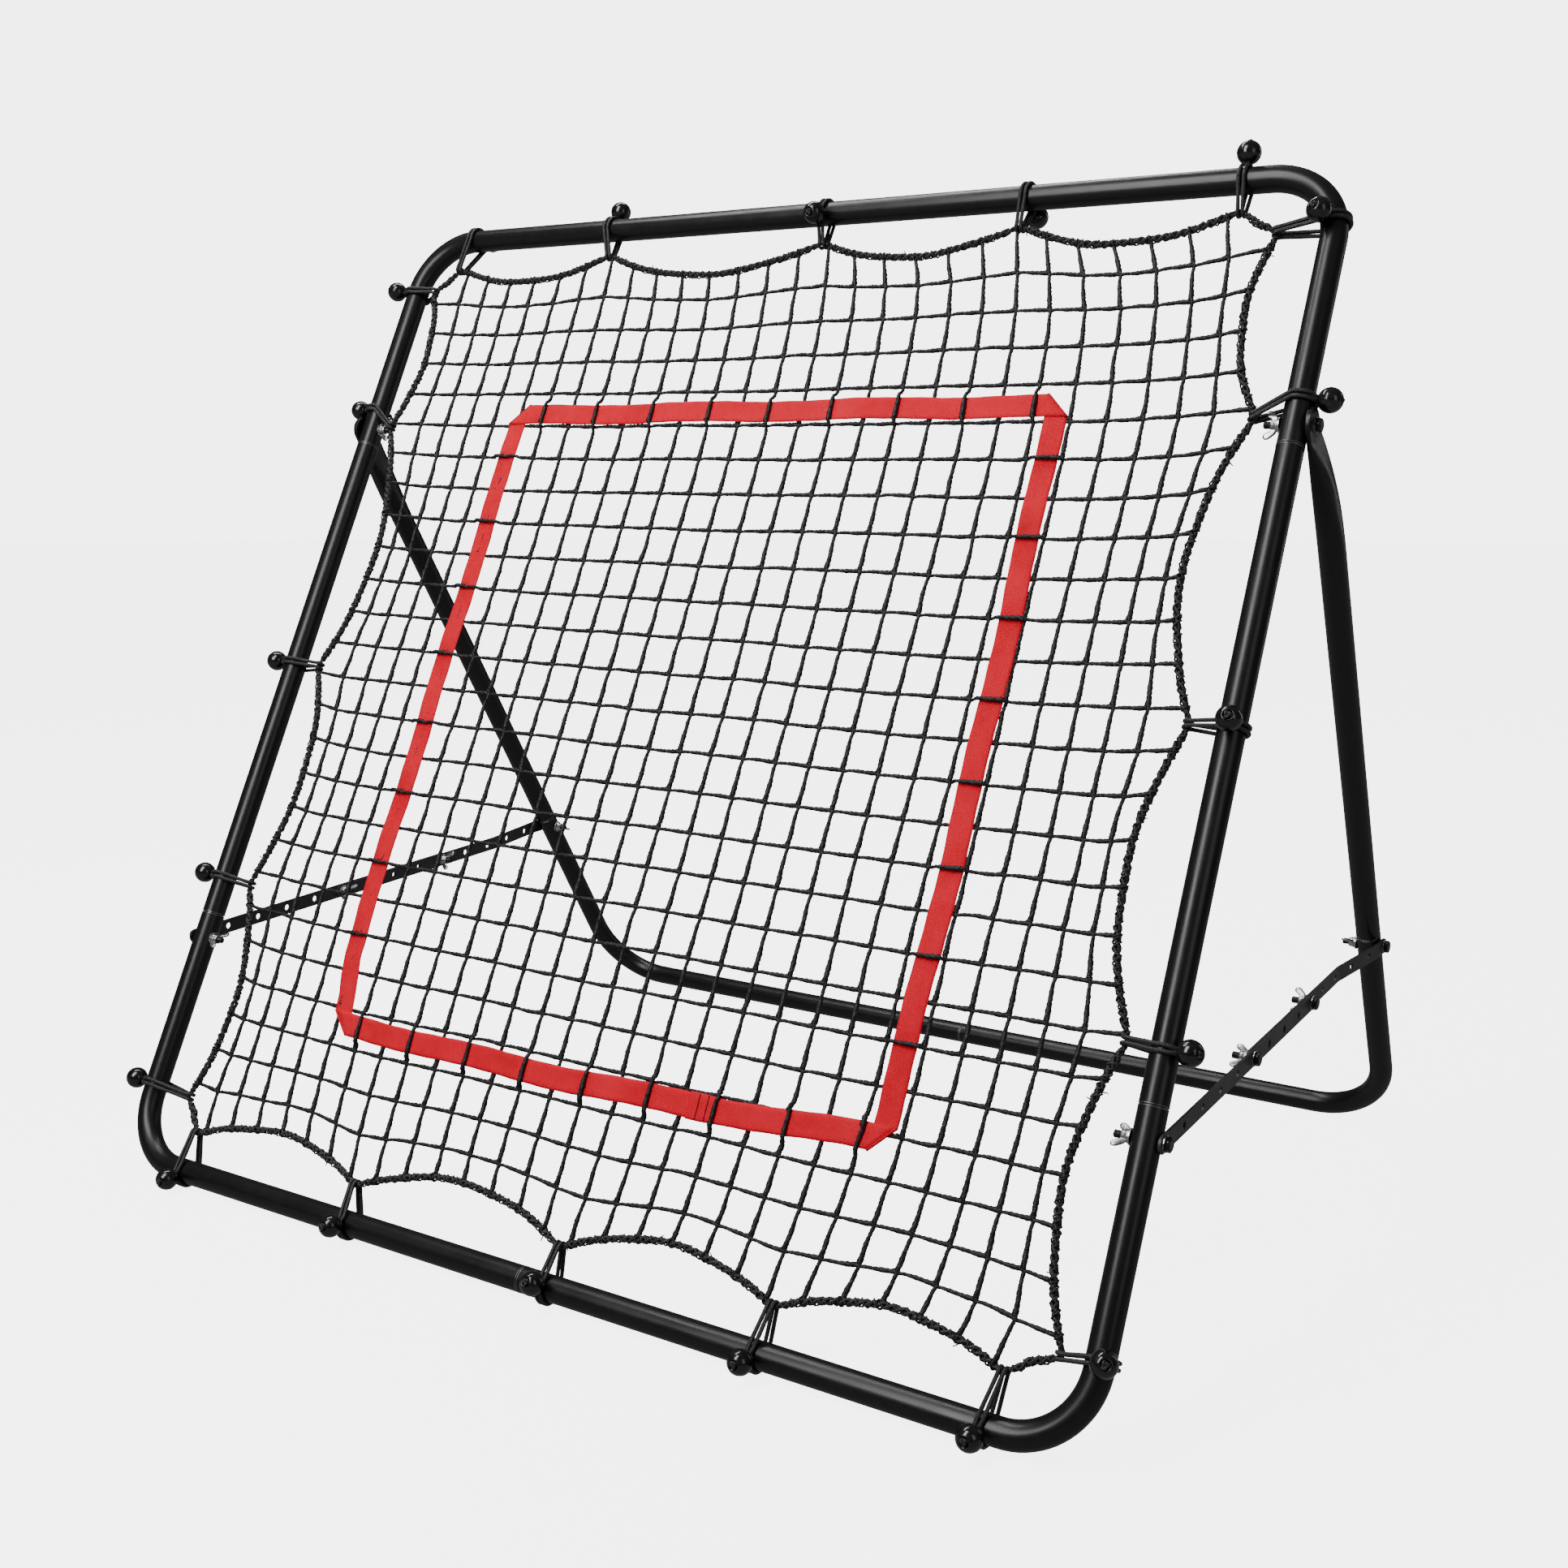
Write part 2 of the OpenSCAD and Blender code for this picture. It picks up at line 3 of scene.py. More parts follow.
import bpy
import numpy as np
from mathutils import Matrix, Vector


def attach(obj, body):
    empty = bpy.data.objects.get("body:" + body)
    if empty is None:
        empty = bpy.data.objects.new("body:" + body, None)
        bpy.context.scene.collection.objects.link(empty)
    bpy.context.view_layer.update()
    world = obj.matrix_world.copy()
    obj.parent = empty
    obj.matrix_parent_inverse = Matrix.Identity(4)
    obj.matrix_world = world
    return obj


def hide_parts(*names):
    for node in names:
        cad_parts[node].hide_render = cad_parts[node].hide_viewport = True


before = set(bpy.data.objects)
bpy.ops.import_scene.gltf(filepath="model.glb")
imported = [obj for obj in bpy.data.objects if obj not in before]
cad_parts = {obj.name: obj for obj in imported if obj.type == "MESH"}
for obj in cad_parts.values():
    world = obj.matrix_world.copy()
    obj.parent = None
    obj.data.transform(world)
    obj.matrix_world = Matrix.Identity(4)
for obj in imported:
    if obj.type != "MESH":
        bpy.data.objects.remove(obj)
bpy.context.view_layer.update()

MM = 0.001
rng = np.random.default_rng(11)
cos, sin, tan, pi = math.cos, math.sin, math.tan, math.pi

# ---- The part's own dimensions, in millimetres and as in its CAD source ----

TUBE_R = 11.0
TUBE_WALL = 1.2
HALF_W = 489.0
HEIGHT = 994.0
TILT = math.radians(27.5)
ELASTIC = 3.6
FRONT_Z = TUBE_R + 0.2 + ELASTIC
PIVOT_AT = 772.0
BRACE_ARM = 555.0
HOLE_PITCH = 38.5
PITCHES_SET = 14                             # hole spacings between the end bolts of a brace
LEG_JOINT = 541.0
BASE_JOINT = 12.0
LEG_OUT_TOP, LEG_OUT_FOOT = 19.3, 6.0        # how far the leg stands outside the side tube
TAB_T, TAB_W = 4.6, 27.0
STRAP_T = 2.0
WASHER_T = 1.2
BOLT_TAIL = 12.0
BALL_R = 10.0
SEAM = 0.8
JOINT_LOW, JOINT_HIGH = 241.0, 753.0
SIDES = ((-1, "left"), (1, "right"))
BOTH = ("left", "right")
HORIZONTAL = ("low", "high")                 # the strap's sides that run across

OPEN = 2 * math.asin(PITCHES_SET * HOLE_PITCH / 2 / BRACE_ARM)
LEG_TILT = OPEN - TILT
BRACE_TILT = OPEN / 2 - TILT
PIVOT = np.array([0, PIVOT_AT * sin(TILT), FRONT_Z + PIVOT_AT * cos(TILT)])
LEG_LEN = (PIVOT[2] - TUBE_R) / cos(LEG_TILT)
TOE = math.atan((LEG_OUT_TOP - LEG_OUT_FOOT) / LEG_LEN)
FRONT_EDGE = -32.6                           # the foremost point, before the whole is centred
ORIGIN_Y = -(FRONT_EDGE + PIVOT[1] + LEG_LEN * sin(LEG_TILT) + TUBE_R) / 2
PIVOT[1] += ORIGIN_Y
FRONT_BOLT = PIVOT_AT - BRACE_ARM
LEG_AT_BRACE = LEG_OUT_TOP - BRACE_ARM * tan(TOE)
OVERLAP_X = TUBE_R - STRAP_T
LEG_GAP = 0.35
REAR_END_X = LEG_AT_BRACE + TUBE_R + LEG_GAP
LEG_INNER_X = LEG_AT_BRACE - TUBE_R


# ---- Places: an origin and three axes, so that local millimetres become row-frame metres ----

def place(origin, turn):
    c, s = cos(turn), sin(turn)
    return np.array(origin, float), np.array([[1, 0, 0], [0, c, s], [0, -s, c]], float)


def put(where, points):
    origin, axes = where
    return (origin + np.asarray(points, float) @ axes) * MM


ON_FRAME = place([0, ORIGIN_Y, FRONT_Z], -TILT)
ON_STAND = place(PIVOT, LEG_TILT)
ON_BRACE = place(put(ON_FRAME, [0, 0, FRONT_BOLT]) / MM, BRACE_TILT)
FRONTWARDS = np.array([0.0, -1.0, 0.0])


# ---- Materials ----

def material(name, color, rough, metal=0.0, **sockets):
    mat = bpy.data.materials.new(name)
    mat.use_nodes = True
    nodes = mat.node_tree.nodes
    bsdf = nodes["Principled BSDF"]
    bsdf.inputs["Base Color"].default_value = (*color, 1)
    bsdf.inputs["Roughness"].default_value = rough
    bsdf.inputs["Metallic"].default_value = metal
    for key, value in sockets.items():
        bsdf.inputs[key.replace("_", " ")].default_value = value
    return mat, nodes, mat.node_tree.links, bsdf


def noise(nodes, links, coords, scale, detail=3.0, rough=0.55):
    n = nodes.new("ShaderNodeTexNoise")
    n.inputs["Scale"].default_value = scale
    n.inputs["Detail"].default_value = detail
    n.inputs["Roughness"].default_value = rough
    links.new(coords, n.inputs["Vector"])
    return n.outputs["Fac"]


def ramp(nodes, links, value, stops):
    r = nodes.new("ShaderNodeValToRGB")
    while len(r.color_ramp.elements) < len(stops):
        r.color_ramp.elements.new(0.5)
    for e, (at, c) in zip(r.color_ramp.elements, stops):
        e.position = at
        e.color = (*c, 1) if hasattr(c, "__len__") else (c, c, c, 1)
    links.new(value, r.inputs["Fac"])
    return r.outputs["Color"]


def bump(nodes, links, bsdf, height, strength, distance):
    b = nodes.new("ShaderNodeBump")
    b.inputs["Strength"].default_value = strength
    b.inputs["Distance"].default_value = distance
    links.new(height, b.inputs["Height"])
    links.new(b.outputs["Normal"], bsdf.inputs["Normal"])


def object_coords(nodes):
    return nodes.new("ShaderNodeTexCoord").outputs["Object"]


def lay_coords(nodes, links):
    """The "lay" UV map's two coordinates, in metres along a piece and across or round it."""
    uv = nodes.new("ShaderNodeUVMap")
    uv.uv_map = "lay"
    split = nodes.new("ShaderNodeSeparateXYZ")
    links.new(uv.outputs["UV"], split.inputs["Vector"])
    return split.outputs["X"], split.outputs["Y"]


def math_node(nodes, links, operation, *values):
    """One math node. A value is a number, or another node's output."""
    node = nodes.new("ShaderNodeMath")
    node.operation = operation
    for socket, value in zip(node.inputs, values):
        if isinstance(value, (int, float)):
            socket.default_value = value
        else:
            links.new(value, socket)
    return node.outputs[0]


def powder_coat(name, color, rough, worn=0.5):
    """Satin powder coat: fine orange peel, a slightly mottled gloss and a few paler rubs."""
    mat, nodes, links, bsdf = material(name, color, rough, Specular_IOR_Level=0.5)
    at = object_coords(nodes)
    mottle = noise(nodes, links, at, 38, 4)
    gloss = ramp(nodes, links, mottle, [(0.3, rough - 0.03), (0.7, rough + 0.05)])
    links.new(gloss, bsdf.inputs["Roughness"])
    rubs = noise(nodes, links, at, 90, 6, 0.7)
    pale = tuple(min(1, c * (1 + 1.6 * worn) + 0.008 * worn) for c in color)
    links.new(ramp(nodes, links, rubs, [(0.45, color), (0.74, pale)]), bsdf.inputs["Base Color"])
    peel = noise(nodes, links, at, 1500, 2)
    bump(nodes, links, bsdf, peel, 0.08, 0.00012)
    return mat


def metal_finish(name, dark, light, rough, scale, metal=1.0):
    """Plated steel: a cloudy tint, a varied gloss and fine scratches."""
    mat, nodes, links, bsdf = material(name, light, rough, metal)
    at = object_coords(nodes)
    cloud = noise(nodes, links, at, scale, 5, 0.6)
    links.new(ramp(nodes, links, cloud, [(0.32, dark), (0.66, light)]), bsdf.inputs["Base Color"])
    links.new(ramp(nodes, links, cloud, [(0.3, rough + 0.12), (0.7, rough - 0.05)]), bsdf.inputs["Roughness"])
    stretch = nodes.new("ShaderNodeMapping")
    stretch.inputs["Scale"].default_value = (1, 7, 1)
    links.new(at, stretch.inputs["Vector"])
    bump(nodes, links, bsdf, noise(nodes, links, stretch.outputs["Vector"], 1300, 2), 0.12, 0.0001)
    return mat


def laid_cord(name, dark, light, rough, turns, lay, depth, sheen):
    """Cord made of fine twisted or braided yarns, with painted shade: its colour is dark in the grooves
    between the yarns and light on their crowns, over a random fibre tone. U runs along it in metres and V
    once round it.
    """
    mat, nodes, links, bsdf = material(name, dark, rough, Sheen_Weight=sheen, Sheen_Roughness=0.4)
    bsdf.inputs["Sheen Tint"].default_value = (0.6, 0.6, 0.62, 1)
    along, around = lay_coords(nodes, links)
    turned = math_node(nodes, links, "MULTIPLY", along, lay * 2 * pi)

    def helix(sign):
        phase = math_node(nodes, links, "MULTIPLY_ADD", around, sign * turns * 2 * pi, turned)
        return math_node(nodes, links, "SINE", phase)

    plait = math_node(nodes, links, "MULTIPLY", helix(1), helix(-1))
    fibre = noise(nodes, links, object_coords(nodes), 900, 3)
    height = math_node(nodes, links, "MULTIPLY_ADD", plait, 0.6, fibre)
    # painted shade: the base colour follows the yarns' height, dark in the grooves between them and light on
    # their crowns
    links.new(ramp(nodes, links, height, [(0.05, dark), (0.95, light)]), bsdf.inputs["Base Color"])
    bump(nodes, links, bsdf, height, 0.8, depth)
    return mat


def webbing(name, shade, color, bright):
    """Flat woven webbing: ribs across, a fine rib along, slight fading and soft fuzz. Its red is painted
    darker in the grooves between the ribs as painted shade, and lighter on their crowns.
    """
    mat, nodes, links, bsdf = material(name, color, 0.66, Sheen_Weight=0.02, Sheen_Roughness=0.5,
                                       Specular_IOR_Level=0.12)
    bsdf.inputs["Sheen Tint"].default_value = (1.0, 0.55, 0.5, 1)
    along, across = lay_coords(nodes, links)

    def rib(output, period):
        return math_node(nodes, links, "SINE", math_node(nodes, links, "MULTIPLY", output, 2 * pi / period))

    weave = math_node(nodes, links, "MULTIPLY", rib(along, 0.0019), rib(across, 0.0016))
    at = object_coords(nodes)
    height = math_node(nodes, links, "MULTIPLY_ADD", weave, 0.5, noise(nodes, links, at, 1100, 3))
    # painted shade: the tone follows the weave's height, darker red in the grooves between the ribs; the
    # coarse noise is random fading
    tone = math_node(nodes, links, "MULTIPLY_ADD", height, 0.22, noise(nodes, links, at, 26, 4))
    dye_and_rib_shade = ramp(nodes, links, tone, [(0.3, shade), (0.55, color), (0.85, bright)])
    links.new(dye_and_rib_shade, bsdf.inputs["Base Color"])
    bump(nodes, links, bsdf, height, 0.6, 0.00022)
    return mat


def moulded(name, color, rough):
    """Glossy moulded plastic with faint flow marks and handling scuffs."""
    mat, nodes, links, bsdf = material(name, color, rough, Specular_IOR_Level=0.62, Coat_Weight=0.5,
                                       Coat_Roughness=0.06)
    at = object_coords(nodes)
    cloud = noise(nodes, links, at, 160, 5, 0.65)
    links.new(ramp(nodes, links, cloud, [(0.35, rough), (0.8, rough + 0.22)]), bsdf.inputs["Roughness"])
    links.new(ramp(nodes, links, cloud, [(0.4, color), (0.85, tuple(c * 2.2 + 0.004 for c in color))]),
              bsdf.inputs["Base Color"])
    bump(nodes, links, bsdf, noise(nodes, links, at, 260, 2), 0.25, 0.0003)
    return mat


COAT = powder_coat("powder_black", (0.0080, 0.0080, 0.0086), 0.31, 0.15)
STRAP_COAT = powder_coat("strap_grey", (0.040, 0.041, 0.043), 0.40, 0.3)
RIM = metal_finish("worn_edge", (0.10, 0.10, 0.11), (0.36, 0.36, 0.38), 0.34, 140)
ZINC = metal_finish("bright_zinc", (0.42, 0.43, 0.45), (0.80, 0.81, 0.83), 0.25, 260)
BLACK_BOLT = metal_finish("black_bolt", (0.020, 0.020, 0.022), (0.075, 0.076, 0.080), 0.28, 300, 0.9)
# the cords' dark and light tones are the painted shade of their yarn grooves and the lighter yarn crowns
NET = laid_cord("net_cord", (0.004, 0.004, 0.0045), (0.022, 0.022, 0.024), 0.5, 2, 260, 0.00035, 0.04)
ROPE = laid_cord("edge_rope", (0.005, 0.005, 0.0055), (0.06, 0.06, 0.063), 0.46, 2, 300, 0.0004, 0.10)
ELASTIC_SHEATH = laid_cord("elastic_sheath", (0.008, 0.008, 0.009), (0.05, 0.05, 0.053),
                           0.40, 4, 420, 0.0003, 0.15)
# the red's darker and brighter tones carry painted shade in the rib grooves as well as random fading
RED = webbing("red_webbing", (0.68, 0.004, 0.016), (0.90, 0.006, 0.028), (0.98, 0.016, 0.042))
# the thread's two tones also carry painted shade in its yarn grooves
THREAD = laid_cord("dark_thread", (0.05, 0.004, 0.006), (0.16, 0.01, 0.015), 0.6, 1, 900, 0.0002, 0.2)
BALL = moulded("ball_gloss", (0.006, 0.006, 0.0065), 0.10)


# ---- Mesh building ----

class Shape:
    """Collects quads and triangles, given in local millimetres, into one mesh with a "lay" UV map."""

    def __init__(self):
        self.points, self.faces, self.uvs, self.count = [], [], [], 0

    def add(self, points, faces, uvs, where, flip=False):
        self.points.append(put(where, points))
        for f, uv in zip(faces, uvs):
            f = [i + self.count for i in f]
            self.faces.append(f[::-1] if flip else f)
            self.uvs.append(uv[::-1] if flip else uv)
        self.count += len(points)

    def build(self, name, mat, body, slot, stands_for=()):
        mesh = bpy.data.meshes.new(name)
        mesh.from_pydata(np.concatenate(self.points).tolist(), [], self.faces)
        layer = mesh.uv_layers.new(name="lay")
        layer.data.foreach_set("uv", np.array([c for uv in self.uvs for p in uv for c in p], np.float32))
        mesh.polygons.foreach_set("use_smooth", [True] * len(mesh.polygons))
        mesh.update()
        obj = bpy.data.objects.new(name, mesh)
        bpy.context.scene.collection.objects.link(obj)
        mesh.materials.append(mat)
        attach(obj, body)
        if stands_for:
            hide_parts(*stands_for)


def unit(v):
    return v / np.maximum(np.linalg.norm(v, axis=-1, keepdims=True), 1e-9)


def distances(line):
    """How far along the line each of its points is."""
    return np.concatenate([[0], np.cumsum(np.linalg.norm(np.diff(line, axis=0), axis=1))])


def grid_faces(rings, around, closed_path, u, v):
    """Quads between rings of points that follow each other along a path."""
    faces, uvs = [], []
    for i in range(rings if closed_path else rings - 1):
        k = (i + 1) % rings
        for j in range(around):
            m = (j + 1) % around
            faces.append([i * around + j, i * around + m, k * around + m, k * around + j])
            uvs.append([(u[i], v[j]), (u[i], v[j + 1]), (u[i + 1], v[j + 1]), (u[i + 1], v[j])])
    return faces, uvs


def sweep(shape, path, radius, where, sides=8, closed=False, ref=(0, 1, 0), flat=1.0, roll=0.0):
    """A tube along path. flat is the thin axis as a share of the wide one, and roll turns that ellipse."""
    path = np.asarray(path, float)
    n = len(path)
    radius, flat, roll = (np.broadcast_to(np.asarray(x, float), (n,)) for x in (radius, flat, roll))
    if closed:
        tangent = unit(np.roll(path, -1, 0) - np.roll(path, 1, 0))
    else:
        tangent = unit(np.gradient(path, axis=0))
    ref = np.broadcast_to(np.asarray(ref, float), path.shape)
    a = unit(ref - (ref * tangent).sum(1, keepdims=True) * tangent)
    b = np.cross(tangent, a)
    t = np.arange(sides) * 2 * pi / sides
    x, y = radius[:, None] * np.cos(t), (radius * flat)[:, None] * np.sin(t)
    cr, sr = np.cos(roll)[:, None], np.sin(roll)[:, None]
    x, y = x * cr - y * sr, x * sr + y * cr
    points = path[:, None] + x[..., None] * a[:, None] + y[..., None] * b[:, None]
    steps = np.linalg.norm(np.diff(np.vstack([path, path[:1]]), axis=0), axis=1)
    u = np.concatenate([[0], np.cumsum(steps)]) * MM
    v = np.linspace(0, 1, sides + 1)
    faces, uvs = grid_faces(n, sides, closed, u, v)
    points = points.reshape(-1, 3)
    if not closed:
        for end, order in ((0, range(sides - 1, -1, -1)), (n - 1, range(sides))):
            faces.append([end * sides + j for j in order])
            uvs.append([(u[end], v[j]) for j in order])
    shape.add(points, faces, uvs, where)


def lathe(shape, profile, centre, axis, where, sides=32):
    """Turns a profile of (distance along axis, radius) about axis. A zero radius closes an end."""
    axis = unit(np.asarray(axis, float))
    a = unit(np.cross(axis, (0.0, 0.0, 1.0) if abs(axis[2]) < 0.9 else (1.0, 0.0, 0.0)))
    b = np.cross(axis, a)
    t = np.arange(sides) * 2 * pi / sides
    points = [np.asarray(centre) + axis * h + (np.cos(t)[:, None] * a + np.sin(t)[:, None] * b) * max(r, 1e-4)
              for h, r in profile]
    length = distances(np.array(profile, float)) * MM
    faces, uvs = grid_faces(len(profile), sides, False, length, np.linspace(0, 1, sides + 1))
    for end, order in ((0, range(sides - 1, -1, -1)), (len(profile) - 1, range(sides))):
        faces.append([end * sides + j for j in order])
        uvs.append([(length[end], j / sides) for j in order])
    shape.add(np.concatenate(points), faces, uvs, where)


def smooth01(t):
    t = np.clip(t, 0, 1)
    return t * t * (3 - 2 * t)


# ---- The rope's line round the net ----

HELD_TOP = [(-437, 961), (-239, 966), (12, 963), (212, 966), (409, 966)]
HELD_RIGHT = [(444, 944), (457, 779), (457, 524), (461, 283), (462, 60)]
HELD_BOTTOM = [(422, 38), (231, 36), (26, 32), (-206, 32), (-416, 35)]
HELD_LEFT = [(-442, 66), (-453, 276), (-457, 507), (-466, 776), (-467, 935)]
HELD = np.array(HELD_TOP + HELD_RIGHT + HELD_BOTTOM + HELD_LEFT, float)
SPAN_STEPS = 40
SAG, CORNER_SAG = 0.118, 0.05                # depth of a scallop as a share of its span
CORNER_SPAN = 90


def rope_span(a, b):
    """From one bungee to the next, hanging towards the net's middle, a little uneven."""
    d = b - a
    span = np.linalg.norm(d)
    inward = np.array([d[1], -d[0]]) / span
    t = np.arange(SPAN_STEPS) / SPAN_STEPS
    depth = (SAG if span > CORNER_SPAN else CORNER_SAG) * span * rng.uniform(0.93, 1.07)
    lean = rng.uniform(-0.12, 0.12)
    bow = 4 * t * (1 - t) * (1 + lean * (2 * t - 1))
    wander = 0.8 * np.sin(pi * t) * np.sin(2 * pi * (rng.uniform() + 2.3 * t))
    return a + d * t[:, None] + inward * (depth * bow + wander)[:, None]


ROPE_LINE = np.concatenate([rope_span(HELD[i], HELD[(i + 1) % len(HELD)]) for i in range(len(HELD))])


def side_line(first_corner_span, last_corner_span):
    """The rope from the middle of one corner span to the middle of another."""
    n = len(ROPE_LINE)
    start = first_corner_span * SPAN_STEPS + SPAN_STEPS // 2
    end = last_corner_span * SPAN_STEPS + SPAN_STEPS // 2
    if end <= start:
        end += n
    return ROPE_LINE[np.arange(start, end + 1) % n]


def evenly(line, count):
    run = distances(line)
    at = np.linspace(0, run[-1], count)
    return np.stack([np.interp(at, run, line[:, k]) for k in (0, 1)], 1)


# ---- The net: a grid whose edge follows the rope and whose middle keeps its square cells ----

COLUMNS, ROWS = 28, 26                       # cells across and up
FIRST_COLUMN, COLUMN_STEP = -426.0, 33.4
FIRST_ROW, ROW_STEP = 72.0, 35.2
EDGE_HOLD = 0.045                            # how fast the pull of the rope fades inwards
RELAX_STEPS = 900

column_x = FIRST_COLUMN + COLUMN_STEP * (np.arange(COLUMNS + 1) - 1)
row_s = FIRST_ROW + ROW_STEP * (np.arange(ROWS + 1) - 1)
base = np.stack(np.meshgrid(column_x, row_s, indexing="ij"), -1)
shift = np.zeros_like(base)
edge_top = evenly(side_line(19, 4), COLUMNS + 1)
edge_right = evenly(side_line(4, 9), ROWS + 1)[::-1]
edge_bottom = evenly(side_line(9, 14), COLUMNS + 1)[::-1]
edge_left = evenly(side_line(14, 19), ROWS + 1)
edges = np.zeros(base.shape[:2], bool)
edges[0], edges[-1], edges[:, 0], edges[:, -1] = True, True, True, True
shift[:, -1] = edge_top - base[:, -1]
shift[:, 0] = edge_bottom - base[:, 0]
shift[0] = edge_left - base[0]
shift[-1] = edge_right - base[-1]
for _ in range(RELAX_STEPS):
    mean = (shift[:-2, 1:-1] + shift[2:, 1:-1] + shift[1:-1, :-2] + shift[1:-1, 2:]) / 4
    shift[1:-1, 1:-1] = mean * (1 - EDGE_HOLD)
wander = rng.normal(0, 1, base.shape)
for _ in range(3):
    wander[1:-1, 1:-1] = (wander[1:-1, 1:-1] * 2 + wander[:-2, 1:-1] + wander[2:, 1:-1]
                          + wander[1:-1, :-2] + wander[1:-1, 2:]) / 6
wander[edges] = 0
CROSSINGS = base + shift + wander * 1.9

STRAP_LEFT, STRAP_RIGHT = -291.0, 288.0
STRAP_LOW, STRAP_HIGH = 166.5, 788.0
STRAP_HALF = 10.5
STRAP_D = -1.9                               # the strap lies this far behind (+) or before (-) the net
WEB_T = 1.1
CORD_THIN, CORD_THICK = 1.6, 2.35            # the net cord's radius after and before a crossing
UPRIGHT_WIDER = 1.12
STEPS_PER_CELL = 12
JOG = 0.75                                   # how far a crossing pushes a cord aside


def strap_line(side, t):
    """Centre line of one side of the strap, as the net pulls it, for t from 0 to 1."""
    wave = 1.1 * np.sin(2 * pi * t * 3.1 + {"left": 0, "right": 1.4, "low": 2.2, "high": 0.7}[side])
    x = STRAP_LEFT + (STRAP_RIGHT - STRAP_LEFT) * t
    s = STRAP_LOW + (STRAP_HIGH - STRAP_LOW) * t
    if side == "left":
        x = STRAP_LEFT + wave + 14 * np.clip(0.10 - t, 0, 1) / 0.10
    elif side == "right":
        x, s = STRAP_RIGHT + wave + 4 * np.sin(pi * t), s + 8 - 6 * t
    elif side == "low":
        x, s = x + 10 * (1 - t) * (t < 0.5), STRAP_LOW + wave + 10 * t ** 3 - 3 * np.sin(pi * t)
    else:
        s = STRAP_HIGH - 2 + wave + 4 * t
    return np.stack([x, s], -1)


LINES = {k: strap_line(k, np.linspace(0, 1, 200)) for k in BOTH + HORIZONTAL}


def strap_at(side, along):
    """Where one side of the strap is, across its run, at a place along it."""
    line = LINES[side]
    k = 0 if side in HORIZONTAL else 1
    return np.interp(along, line[:, k], line[:, 1 - k])


def weave_depth(points, over, vertical):
    """How far a strand leaves the net's plane to pass before or behind the strap."""
    x, s = points[:, 0], points[:, 1]
    depth = np.zeros(len(points))
    for side in BOTH + HORIZONTAL:
        crosses = (side in HORIZONTAL) == vertical
        along, across = (x, s) if side in HORIZONTAL else (s, x)
        off = np.abs(across - strap_at(side, along))
        lo, hi = (STRAP_LEFT, STRAP_RIGHT) if side in HORIZONTAL else (STRAP_LOW, STRAP_HIGH)
        inside = (along > lo - STRAP_HALF) & (along < hi + STRAP_HALF)
        near = smooth01((STRAP_HALF + 7 - off) / 6.0) * inside
        depth = np.where(near > 0, (-4.0 if crosses and over else 0.5) * near, depth)
    return depth


def strand(shape, nodes2, vertical, over):
    """One cord through a row or column of crossings: thin after each crossing, thicker before the next."""
    jog = JOG if vertical else -JOG
    t = np.arange(STEPS_PER_CELL) / STEPS_PER_CELL
    aside = jog * (1 - smooth01(t * 5)) - jog * smooth01((t - 0.84) * 6.25)
    taper = smooth01(t * 1.15)
    knob = 0.25 * np.exp(-((t - 0.93) / 0.05) ** 2)
    points, radius = [], []
    for a, b in zip(nodes2[:-1], nodes2[1:]):
        d = b - a
        normal = np.array([-d[1], d[0]]) / max(np.linalg.norm(d), 1e-6)
        bow = rng.normal(0, 0.35)
        points.append(a + d * t[:, None] + normal * (aside + bow * np.sin(pi * t))[:, None])
        width = CORD_THIN + (CORD_THICK - CORD_THIN) * taper * rng.uniform(0.85, 1.1)
        radius.append((width + knob) * (UPRIGHT_WIDER if vertical else 1))
    points.append(nodes2[-1:])
    radius.append([CORD_THIN])
    flat2, radius = np.concatenate(points), np.concatenate(radius)
    waver = 0.25 * np.sin(np.arange(len(flat2)) * 0.9 + rng.uniform(0, 6))
    depth = weave_depth(flat2, over, vertical) + waver
    path = np.stack([flat2[:, 0], depth, flat2[:, 1]], 1)
    run = distances(path)
    sweep(shape, path, radius, ON_FRAME, sides=6, flat=0.88, roll=run * 2 * pi / rng.uniform(24, 30))


net = Shape()
for i in range(1, COLUMNS):
    strand(net, CROSSINGS[i][::-1], True, i % 2 == 0)
for j in range(1, ROWS):
    strand(net, CROSSINGS[:, j], False, j % 2 == 0)
net.build("net_cords", NET, "front_frame", "net_cord", stands_for=("net",))


# ---- The rope: two thick yarns and two thin binding ones, drawn tight at each bungee ----

def closed_evenly(line, step):
    loop = np.vstack([line, line[:1]])
    run = distances(loop)
    at = np.linspace(0, run[-1], int(run[-1] / step), endpoint=False)
    return np.stack([np.interp(at, run, loop[:, k]) for k in (0, 1)], 1), at


ROPE_STEP = 1.6
rope2, rope_at = closed_evenly(ROPE_LINE, ROPE_STEP)
near_held = np.sqrt(((rope2[:, None] - HELD[None]) ** 2).sum(-1)).min(1)
tight = smooth01(near_held / 16.0)
rope3 = np.stack([rope2[:, 0], np.zeros(len(rope2)), rope2[:, 1]], 1)
rope_t = unit(np.roll(rope3, -2, 0) - np.roll(rope3, 2, 0))
rope_n = np.cross(rope_t, FRONTWARDS)
YARN_TURN, BIND_TURN = 15.5, 10.5            # one turn of each yarn, along the rope
LOOPS = round(rope_at[-1] / YARN_TURN)
BINDS = round(rope_at[-1] / BIND_TURN)
turn = rope_at / (rope_at[-1] + ROPE_STEP) * 2 * pi
rope = Shape()


def yarn(phase, away, radius, sides, flat):
    around = np.cos(phase)[:, None] * rope_n + np.sin(phase)[:, None] * FRONTWARDS
    sweep(rope, rope3 + around * away[:, None], radius, ON_FRAME, sides=sides, closed=True, flat=flat)


